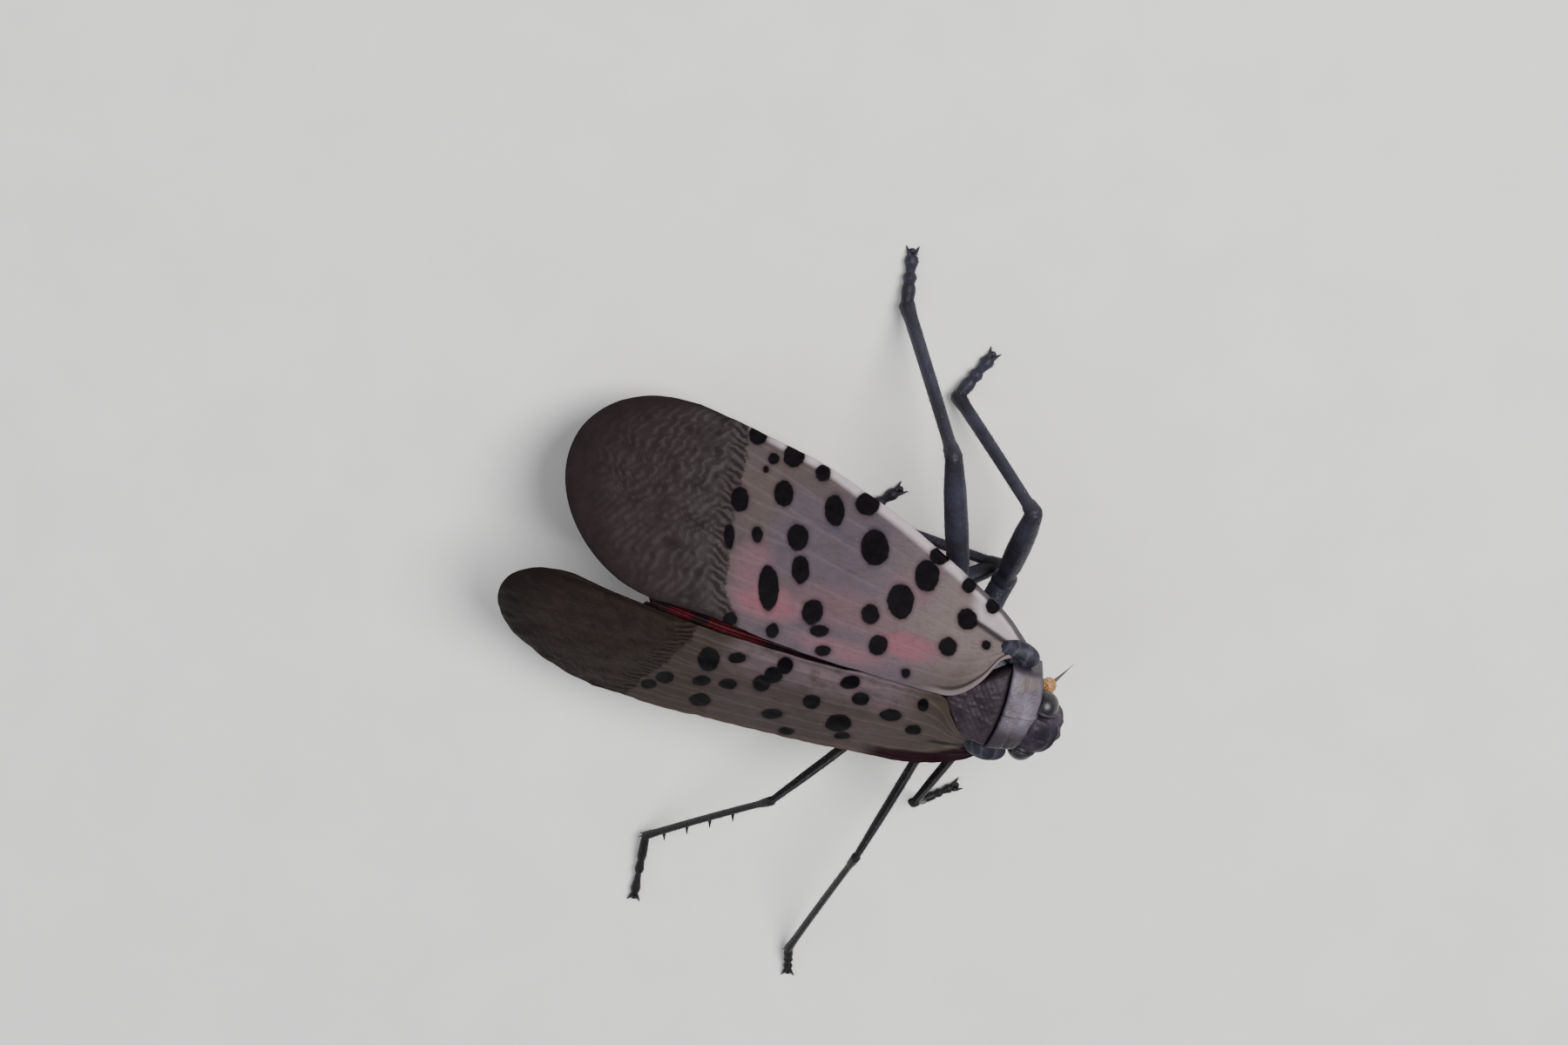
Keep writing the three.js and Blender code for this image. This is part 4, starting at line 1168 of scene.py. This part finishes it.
def spot_distance(along, across, spots):
    """How far each place lies outside the nearest spot, in millimetres; below 0 inside it."""
    best = np.full(along.shape, 5.0)
    for a, w, long_radius, short_radius, tilt in spots:
        angle = math.radians(tilt)
        da, dw = along - a, across - w
        u = da * math.cos(angle) + dw * math.sin(angle)
        v = -da * math.sin(angle) + dw * math.cos(angle)
        reach = np.sqrt((u / long_radius) ** 2 + (v / short_radius) ** 2)
        best = np.minimum(best, (reach - 1) * (long_radius + short_radius) / 2)
    return best


def rosiness(along, across):
    """Strongest in the middle of each rosy patch, falling softly to 0 at its edge."""
    best = np.zeros(along.shape)
    for a, w, half_length, half_width, strength in ROSY:
        reach = np.sqrt(((along - a) / half_length) ** 2 + ((across - w) / half_width) ** 2)
        best = np.maximum(best, strength * (1 - soft((reach - ROSY_CORE) / (1 - ROSY_CORE))))
    return best


def vein_height(s, t, width, columns, veins, fork_at, spread):
    """Ridges along the wing; each forks once past fork_at."""
    height = np.zeros(s.shape)
    for number, column in enumerate(veins):
        middle = column / columns
        fork = soft((s - fork_at - 0.03 * (number % 3)) / 0.2)
        for branch in (-1, 1):
            line = middle + branch * spread * fork + 0.004 * np.sin(9 * s + number)
            distance = np.abs(t - line) * width
            height = np.maximum(height, np.exp(-(distance / 0.085) ** 2))
    return height


def tip_net(along, across, scale):
    """Pale cross veins of the tip: short wavering strokes, staggered from lane to lane."""
    flat = flat_points(along, across)
    lane = (across * 1.2 + along * 0.35) * scale
    lane = lane + 0.55 * ripple(flat, 0.62, 71) + 0.16 * ripple(flat, 1.6, 74)
    number = np.floor(lane)
    share = lane - number
    # Each lane starts somewhere else
    stagger = np.sin(number * 12.9898) * 43.7
    bend = 0.2 * np.sin(2 * np.pi * share + number)
    rung = (along * 2.5 + across * 1.25) * scale + stagger + bend
    rung = rung + 0.45 * ripple(flat, 0.7, 72) + 0.12 * ripple(flat, 2.0, 73)
    stroke = 1 - soft((np.abs(rung % 1 - 0.5) - 0.08) / 0.18)
    ends = 1 - soft((np.abs(share - 0.5) - 0.34) / 0.16)
    broken = soft((ripple(flat, 1.5, 75) + 0.9) / 0.9)
    return stroke * ends * (0.35 + 0.65 * broken)


def make_forewing(name, material):
    """A leathery membrane, with a distance or a pattern kept at each point for its colours."""
    plan = FOREWINGS[name]
    s, t, along, across, width = wing_plan(plan, FOREWING_GRID)
    inner_edge = t * width
    front_distance = (1 - t) * width
    veins = vein_height(s, t, width, 15, FOREWING_VEINS, 0.5, 0.03)
    rim = np.minimum(front_distance, inner_edge + 2.0 * (s < 0.75))
    end = (1 - s) * 9
    rim = np.where(s > 0.55, np.minimum(rim, end + 0.02), rim)
    tip = along - between(TIP_BORDER[name], across)
    tip_share = soft(tip / 0.8) * soft(rim / 0.5)
    spot = spot_distance(along, across, SPOTS[name])
    net = tip_net(along, across, plan["net_scale"]) * soft((tip + 0.2) / 0.5)
    hem = soft((WING["hem"] - inner_edge) / 0.12) * (1 - soft((along - 0.2) / 1.4)) * (plan["side"] > 0)
    front_edge = np.exp(-(front_distance / 0.16) ** 2)
    level = plan_unevenness(along, across)
    film = WING["film"]
    relief = 0.03 * veins * soft(rim / 0.4) * soft(spot / 0.15) * (1 - 0.8 * tip_share)
    relief = relief + 0.03 * net * tip_share + 0.06 * front_edge + 0.1 * hem
    normal = roof_normal(along, across, plan["side"])
    lift = plan["lift"] + 0.3 * soft((0.4 - along) / 1.2) * soft((2.6 - across) / 1.2)
    lift = lift - plan["tuck"] * soft((0.9 - across) / 0.7)
    middle = roof(along, across, plan["side"]) + normal * (lift + level)[..., None]
    taper = np.clip(rim / 0.12, 0.25, 1)
    upper = middle + normal * ((film + relief) * taper)[..., None]
    lower = middle - normal * ((film + 0.3 * relief) * taper)[..., None]
    shell = Shell()
    shell.sheet(
        upper, lower, along=along, across=across, spot=spot, tip=tip, rim=rim, vein=veins, net=net,
        inner=inner_edge, front=front_distance, rosy=rosiness(along, across),
    )
    shell.make(f"forewing_membrane_{name}", material, "forewing", f"forewing_{name}")


def plan_unevenness(along, across):
    """Shallow waves, so that the membrane isn't a perfect roof."""
    points = flat_points(along, across)
    return 0.05 * ripple(points, 0.45, 51) + 0.02 * ripple(points, 1.4, 52)


def make_hindwing(name, material):
    """A thin pleated membrane under the forewing."""
    plan = HINDWINGS[name]
    s, t, along, across, width = wing_plan(plan, HINDWING_GRID)
    veins = vein_height(s, t, width, 10, HINDWING_VEINS, 0.35, 0.03)
    normal = roof_normal(along, across, plan["side"])
    pleats = HINDWING["pleat_height"] * np.sin(t * 2 * np.pi * HINDWING["pleats"]) * soft(s * 3)
    drop = HINDWING["depth"] - plan["ridge_lift"] * (1 - soft(across / 1.5))
    middle = roof(along, across, plan["side"]) - normal * (drop - pleats)[..., None]
    film = HINDWING["film"]
    shell = Shell()
    upper = middle + normal * (film + 0.05 * veins)[..., None]
    lower = middle - normal * (film + 0.02 * veins)[..., None]
    shell.sheet(upper, lower, along=along, across=across, vein=veins)
    shell.make(f"hindwing_membrane_{name}", material, "hindwing", f"hindwing_{name}")


def make_tegula(name, side, material):
    """The cap over the root of a forewing, flat underneath."""
    place = roof(np.array(TEGULA["along"]), np.array(TEGULA["across"]), side)
    shell = Shell()
    rings = ellipsoid_rings((0, 0, 0), (1, 1, 1), 40, 26)
    rings[..., 2] = np.maximum(rings[..., 2], -0.55)
    rings = rings * np.array(TEGULA["radii"]) + place + np.array([0, 0, TEGULA["rise"]])
    rings = rings + 0.03 * ripple(rings, 2.6, 61)[..., None] * np.array([0, 0, 1.0])
    shell.loft(rings)
    shell.make(f"tegula_cap_{name}", material, "shield", f"tegula_{name}")


# Legs

def bowed(start, end, bow, rows=22):
    start, end = np.asarray(start, float), np.asarray(end, float)
    t = np.linspace(0, 1, rows)
    lift = np.array([0, 0, 1.0]) * bow
    return start + (end - start) * t[:, None] + lift * np.sin(math.pi * t)[:, None], t


def add_limb(shell, start, end, radii, bow=0.0, keels=0.05, rows=22, sides=20, flat=1.0):
    path, t = bowed(start, end, bow, rows)
    radius = between(radii, t)
    rings, lie = sweep(path, radius, sides, keels, flat)
    rings[..., 2] = np.maximum(rings[..., 2], 0.0)
    share = np.concatenate([[0] * len(CAP_ANGLES), t, [1] * len(CAP_ANGLES)])
    joint = np.abs(share - 0.5) * 2
    shell.loft(rings, joint=np.repeat(joint[:, None], sides, axis=1), lie=lie)


def add_hook(shell, start, way, down, length, radius):
    """A claw that curves down to the floor."""
    t = np.linspace(0, 1, 9)[:, None]
    path = start + way * length * t + np.array([0, 0, -1.0]) * down * np.sin(t * math.pi / 2) ** 2
    path[:, 2] = np.maximum(path[:, 2], radius * (1 - t[:, 0]) + 0.012)
    rings, lie = sweep(path, radius * (1 - t[:, 0]) ** 0.8 + 0.012, 10)
    rings[..., 2] = np.maximum(rings[..., 2], 0.0)
    shell.loft(rings, joint=0.3, lie=lie)


def add_spines(shell, start, end, count, radius, seed):
    """Stout spines down the outer side of the shin, and a crown of them at its end."""
    random = np.random.default_rng(seed)
    start, end = np.asarray(start, float), np.asarray(end, float)
    axis = unit(end - start)
    side = unit(np.cross(axis, [0, 0, 1.0]))
    up = np.cross(side, axis)
    way = unit(axis * 0.75 - side + up * 0.2)
    for i in range(count):
        root = start + (end - start) * (0.3 + 0.55 * i / max(count - 1, 1))
        path = root + way * np.linspace(0, SPINE_LENGTH, 6)[:, None]
        rings, lie = sweep(path, np.linspace(radius * 0.55, 0.02, 6), 9)
        shell.loft(rings, joint=0.2, lie=lie)
    for i in range(6):
        angle = 2 * math.pi * i / 6 + random.uniform(-0.2, 0.2)
        way = unit(axis * 1.3 + (side * math.cos(angle) + up * math.sin(angle)) * 0.6)
        root = end + (side * math.cos(angle) + up * math.sin(angle)) * radius * 0.5
        path = root + way * np.linspace(-0.1, 0.26, 5)[:, None]
        rings, lie = sweep(path, np.linspace(0.07, 0.015, 5), 8)
        rings[..., 2] = np.maximum(rings[..., 2], 0.0)
        shell.loft(rings, joint=0.2, lie=lie)


def make_leg(name, plan, seed, material):
    """Hip joint, thigh, spined shin, a foot in three joints, and two claws with a pad between."""
    shell = Shell()
    hip, trochanter = np.array(plan["hip"]), np.array(plan["trochanter"])
    knee, ankle, foot = np.array(plan["knee"]), np.array(plan["ankle"]), np.array(plan["foot"])
    femur, tibia, tarsus = (LEG[part] * plan["girth"] for part in ("femur", "tibia", "tarsus"))
    knot = plan["knot"]
    coxa_radii = [(0, LEG["coxa"]), (0.5, LEG["coxa"]), (0.8, knot), (1, knot)]
    flat = plan["flat"]
    add_limb(shell, hip, trochanter, coxa_radii, 0, 0.02)
    femur_radii = [
        (0, knot), (0.08, knot), (0.13, femur * 0.78), (0.25, femur * 0.95), (0.5, femur),
        (0.75, femur * 0.95), (0.93, femur * 0.8), (1, femur * 0.72),
    ]
    add_limb(shell, trochanter, knee, femur_radii, plan["bow"], 0.07, 34, 24, flat)
    tibia_radii = [
        (0, tibia * 1.3), (0.05, tibia * 1.2), (0.1, tibia * 0.92), (0.5, tibia * 0.96), (0.9, tibia),
        (1, tibia * 1.2),
    ]
    add_limb(shell, knee, ankle, tibia_radii, -plan["bow"] * 0.6, 0.09, 34, 20, (1 + flat) / 2)
    add_spines(shell, knee, ankle, plan["spines"], tibia, seed)
    joints = [(0.0, 0.4, 1.0, 1.1), (0.43, 0.62, 0.9, 1.12), (0.66, 0.98, 0.78, 1.12)]
    for begin, stop, narrow, wide in joints:
        start = ankle + (foot - ankle) * begin
        end = ankle + (foot - ankle) * stop
        radii = [(0, tarsus * narrow * 0.85), (0.3, tarsus * narrow), (0.85, tarsus * wide), (1, tarsus)]
        add_limb(shell, start, end, radii, 0, 0.04, 14, 18)
    forward = unit((foot - ankle) * [1, 1, 0])
    side = np.array([-forward[1], forward[0], 0])
    for hand in (-1, 1):
        root = foot + forward * 0.12 + side * hand * 0.1 + np.array([0, 0, 0.06])
        add_hook(shell, root, unit(forward + side * hand * 0.5), 0.2, 0.42, 0.085)
    pad = foot + forward * 0.24
    rings = ellipsoid_rings((pad[0], pad[1], 0.1), (0.17, 0.17, 0.1), 20, 12)
    shell.loft(rings, joint=1.0, lie=forward)
    return shell.make(f"{name}_skin", material, "leg", name)


# Bristles, set over the skins by Geometry Nodes

def bristle_tree(material):
    """Thin cones scattered over a skin, leaning the way that its lie attribute points."""
    tree = bpy.data.node_groups.new("bristles", "GeometryNodeTree")
    face = tree.interface

    def socket(name, kind, default=None, way="INPUT"):
        made = face.new_socket(name=name, in_out=way, socket_type=kind)
        if default is not None:
            made.default_value = default
        return made

    socket("Skin", "NodeSocketGeometry")
    socket("Density", "NodeSocketFloat", 2.0e7)
    socket("Length", "NodeSocketFloat", 0.00018)
    socket("Thickness", "NodeSocketFloat", 0.00001)
    socket("Seed", "NodeSocketInt", 1)
    socket("Bristles", "NodeSocketGeometry", way="OUTPUT")

    def node(kind, settings=None, **inputs):
        made = tree.nodes.new(kind)
        for key, value in (settings or {}).items():
            setattr(made, key, value)
        for key, value in inputs.items():
            target = made.inputs[key.replace("_", " ")]
            if isinstance(value, bpy.types.NodeSocket):
                tree.links.new(value, target)
            else:
                target.default_value = value
        return made

    group_in = node("NodeGroupInput")
    group_out = node("NodeGroupOutput")
    scatter = node(
        "GeometryNodeDistributePointsOnFaces", {"distribute_method": "RANDOM"},
        Mesh=group_in.outputs["Skin"], Density=group_in.outputs["Density"], Seed=group_in.outputs["Seed"],
    )
    lie = node("GeometryNodeInputNamedAttribute", {"data_type": "FLOAT_VECTOR"}, Name="lie")
    lean = node("ShaderNodeVectorMath", {"operation": "SCALE"})
    tree.links.new(lie.outputs["Attribute"], lean.inputs[0])
    lean.inputs["Scale"].default_value = 1.3
    way = node("ShaderNodeVectorMath", {"operation": "ADD"})
    tree.links.new(lean.outputs[0], way.inputs[0])
    tree.links.new(scatter.outputs["Normal"], way.inputs[1])
    turn = node("FunctionNodeAlignRotationToVector", {"axis": "Z"}, Vector=way.outputs[0])
    cone = node(
        "GeometryNodeMeshCone", {"fill_type": "TRIANGLE_FAN"}, Vertices=4, Side_Segments=1,
        Radius_Top=0.0, Radius_Bottom=group_in.outputs["Thickness"], Depth=group_in.outputs["Length"],
    )
    vary = node("FunctionNodeRandomValue", {"data_type": "FLOAT"})
    vary.inputs[2].default_value = 0.6
    vary.inputs[3].default_value = 1.15
    place = node(
        "GeometryNodeInstanceOnPoints", {}, Points=scatter.outputs["Points"], Instance=cone.outputs["Mesh"],
        Rotation=turn.outputs[0], Scale=vary.outputs[1],
    )
    real = node("GeometryNodeRealizeInstances", {}, Geometry=place.outputs["Instances"])
    painted = node("GeometryNodeSetMaterial", {}, Geometry=real.outputs["Geometry"], Material=material)
    tree.links.new(painted.outputs["Geometry"], group_out.inputs["Bristles"])
    return tree


def grow_bristles(name, skin, tree, slot, material, **sizes):
    """A piece of its own that holds only the bristles of a skin."""
    piece = bpy.data.objects.new(name, skin.data.copy())
    bpy.context.scene.collection.objects.link(piece)
    modifier = piece.modifiers.new("bristles", "NODES")
    modifier.node_group = tree
    for item in tree.interface.items_tree:
        if item.in_out == "INPUT" and item.name in sizes:
            modifier[item.identifier] = sizes[item.name]
    graph = bpy.context.evaluated_depsgraph_get()
    mesh = bpy.data.meshes.new_from_object(piece.evaluated_get(graph))
    piece.modifiers.remove(modifier)
    piece.data = mesh
    mesh.materials.clear()
    mesh.materials.append(material)
    points = np.zeros(len(mesh.vertices) * 3, np.float32)
    mesh.vertices.foreach_get("co", points)
    points = points.reshape(-1, 3)
    points[:, 2] = np.maximum(points[:, 2], 0.0)
    mesh.vertices.foreach_set("co", points.ravel())
    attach(piece, ROOT)
    return piece


# Camera, floor and light

def photo_axes():
    back = unit([VIEW["lean_left"], VIEW["lean_back"], 1.0])
    ahead = np.array([0, -1.0, 0])
    ahead = unit(ahead - back * (ahead @ back))
    left = np.cross(back, ahead)
    roll = math.radians(VIEW["roll"])
    right = math.cos(roll) * ahead + math.sin(roll) * left
    up = -math.sin(roll) * ahead + math.cos(roll) * left
    return right, up, back


def make_camera():
    right, up, back = photo_axes()
    focal_px = VIEW["px_per_mm"] * VIEW["distance"]
    across = (PHOTO["width"] / 2 - PHOTO["target_x"]) / focal_px
    above = (PHOTO["target_y"] - PHOTO["height"] / 2) / focal_px
    eye = np.array(VIEW["target"], float) + back * VIEW["distance"]
    toward = unit(-back + across * right + above * up)
    local_z = -toward
    local_x = unit(right - local_z * (right @ local_z))
    local_y = np.cross(local_z, local_x)
    data = bpy.data.cameras.new("photo_view")
    data.sensor_width = SENSOR_MM
    data.lens = focal_px * SENSOR_MM / PHOTO["width"]
    data.clip_start = 0.01
    data.clip_end = 20
    camera = bpy.data.objects.new("photo_view", data)
    bpy.context.scene.collection.objects.link(camera)
    location = eye * MM + ORIGIN
    turn = np.stack([local_x, local_y, local_z], 1)
    camera.matrix_world = Matrix.Translation(Vector(location)) @ Matrix(turn.tolist()).to_4x4()
    bpy.context.scene.camera = camera


def make_floor():
    paint = Paint("plain_floor")
    grain = paint.noise(paint.place(), 220.0, 3.0)
    color = paint.blend(grain.rise(0.3, 0.7), (0.86, 0.845, 0.83), (0.9, 0.885, 0.87))
    material = paint.finish(color, 0.85)
    mesh = bpy.data.meshes.new("floor")
    corners = [(x * FLOOR_REACH, y * FLOOR_REACH, 0) for x, y in ((-1, -1), (1, -1), (1, 1), (-1, 1))]
    mesh.from_pydata(corners, [], [(0, 1, 2, 3)])
    mesh.materials.append(material)
    floor = bpy.data.objects.new("floor", mesh)
    bpy.context.scene.collection.objects.link(floor)


def make_light(name, place, size, power, color):
    data = bpy.data.lights.new(name, "AREA")
    data.shape = "DISK"
    data.size = size
    data.energy = power
    data.color = color
    light = bpy.data.objects.new(name, data)
    light.location = place
    aim = Vector(LIGHT_AIM) - Vector(place)
    light.rotation_euler = aim.to_track_quat("-Z", "Y").to_euler()
    bpy.context.scene.collection.objects.link(light)


def make_sky():
    world = bpy.context.scene.world or bpy.data.worlds.new("studio")
    bpy.context.scene.world = world
    world.use_nodes = True
    sky = world.node_tree.nodes["Background"]
    sky.inputs["Color"].default_value = (*SKY["color"], 1)
    sky.inputs["Strength"].default_value = SKY["strength"]


def build():
    """Every piece of the animal, from the torso outwards."""
    dark = cuticle_skin()
    slate_leg = leg_skin("leg_slate", tone(26, 25, 34), tone(44, 43, 58))
    # The right legs get a darker copy of the leg colour, as painted shade for the side away from the light
    shaded_leg = leg_skin("leg_painted_shade", tone(7, 6, 9), tone(18, 17, 22))
    bristle = bristle_skin()
    orange = antenna_skin()
    red = hindwing_skin()
    thorax = make_torso(dark)
    make_abdomen(abdomen_skin())
    make_pronotum(pronotum_skin())
    make_shield(shield_skin())
    head = make_head(head_skin())
    make_rostrum(slate_leg)
    slate = root_skin()
    wings = {
        "left": wing_skin("forewing_warm", WARM_WING),
        "right": wing_skin("forewing_right_shaded", SHADED_RIGHT_WING),
    }
    lens = eye_lens()
    for name, side in (("left", 1), ("right", -1)):
        make_eye(name, side, lens, dark)
        make_antenna(name, side, orange, bristle)
        make_tegula(name, side, slate)
        make_forewing(name, wings[name])
        make_hindwing(name, red)
    tree = bristle_tree(bristle)
    for seed, (name, plan) in enumerate(LEGS.items()):
        skin = make_leg(name, plan, seed + 70, slate_leg if name.endswith("left") else shaded_leg)
        grow_bristles(f"{name}_bristles", skin, tree, "leg", bristle, Seed=seed, **LEG_BRISTLES)
    grow_bristles("thorax_bristles", thorax, tree, "cuticle", bristle, Seed=21, **BODY_BRISTLES)
    grow_bristles("head_bristles", head, tree, "cuticle", bristle, Seed=22, **BODY_BRISTLES)


make_camera()
make_floor()
make_sky()
for light_name, light in LIGHTS.items():
    make_light(light_name, **light)
build()
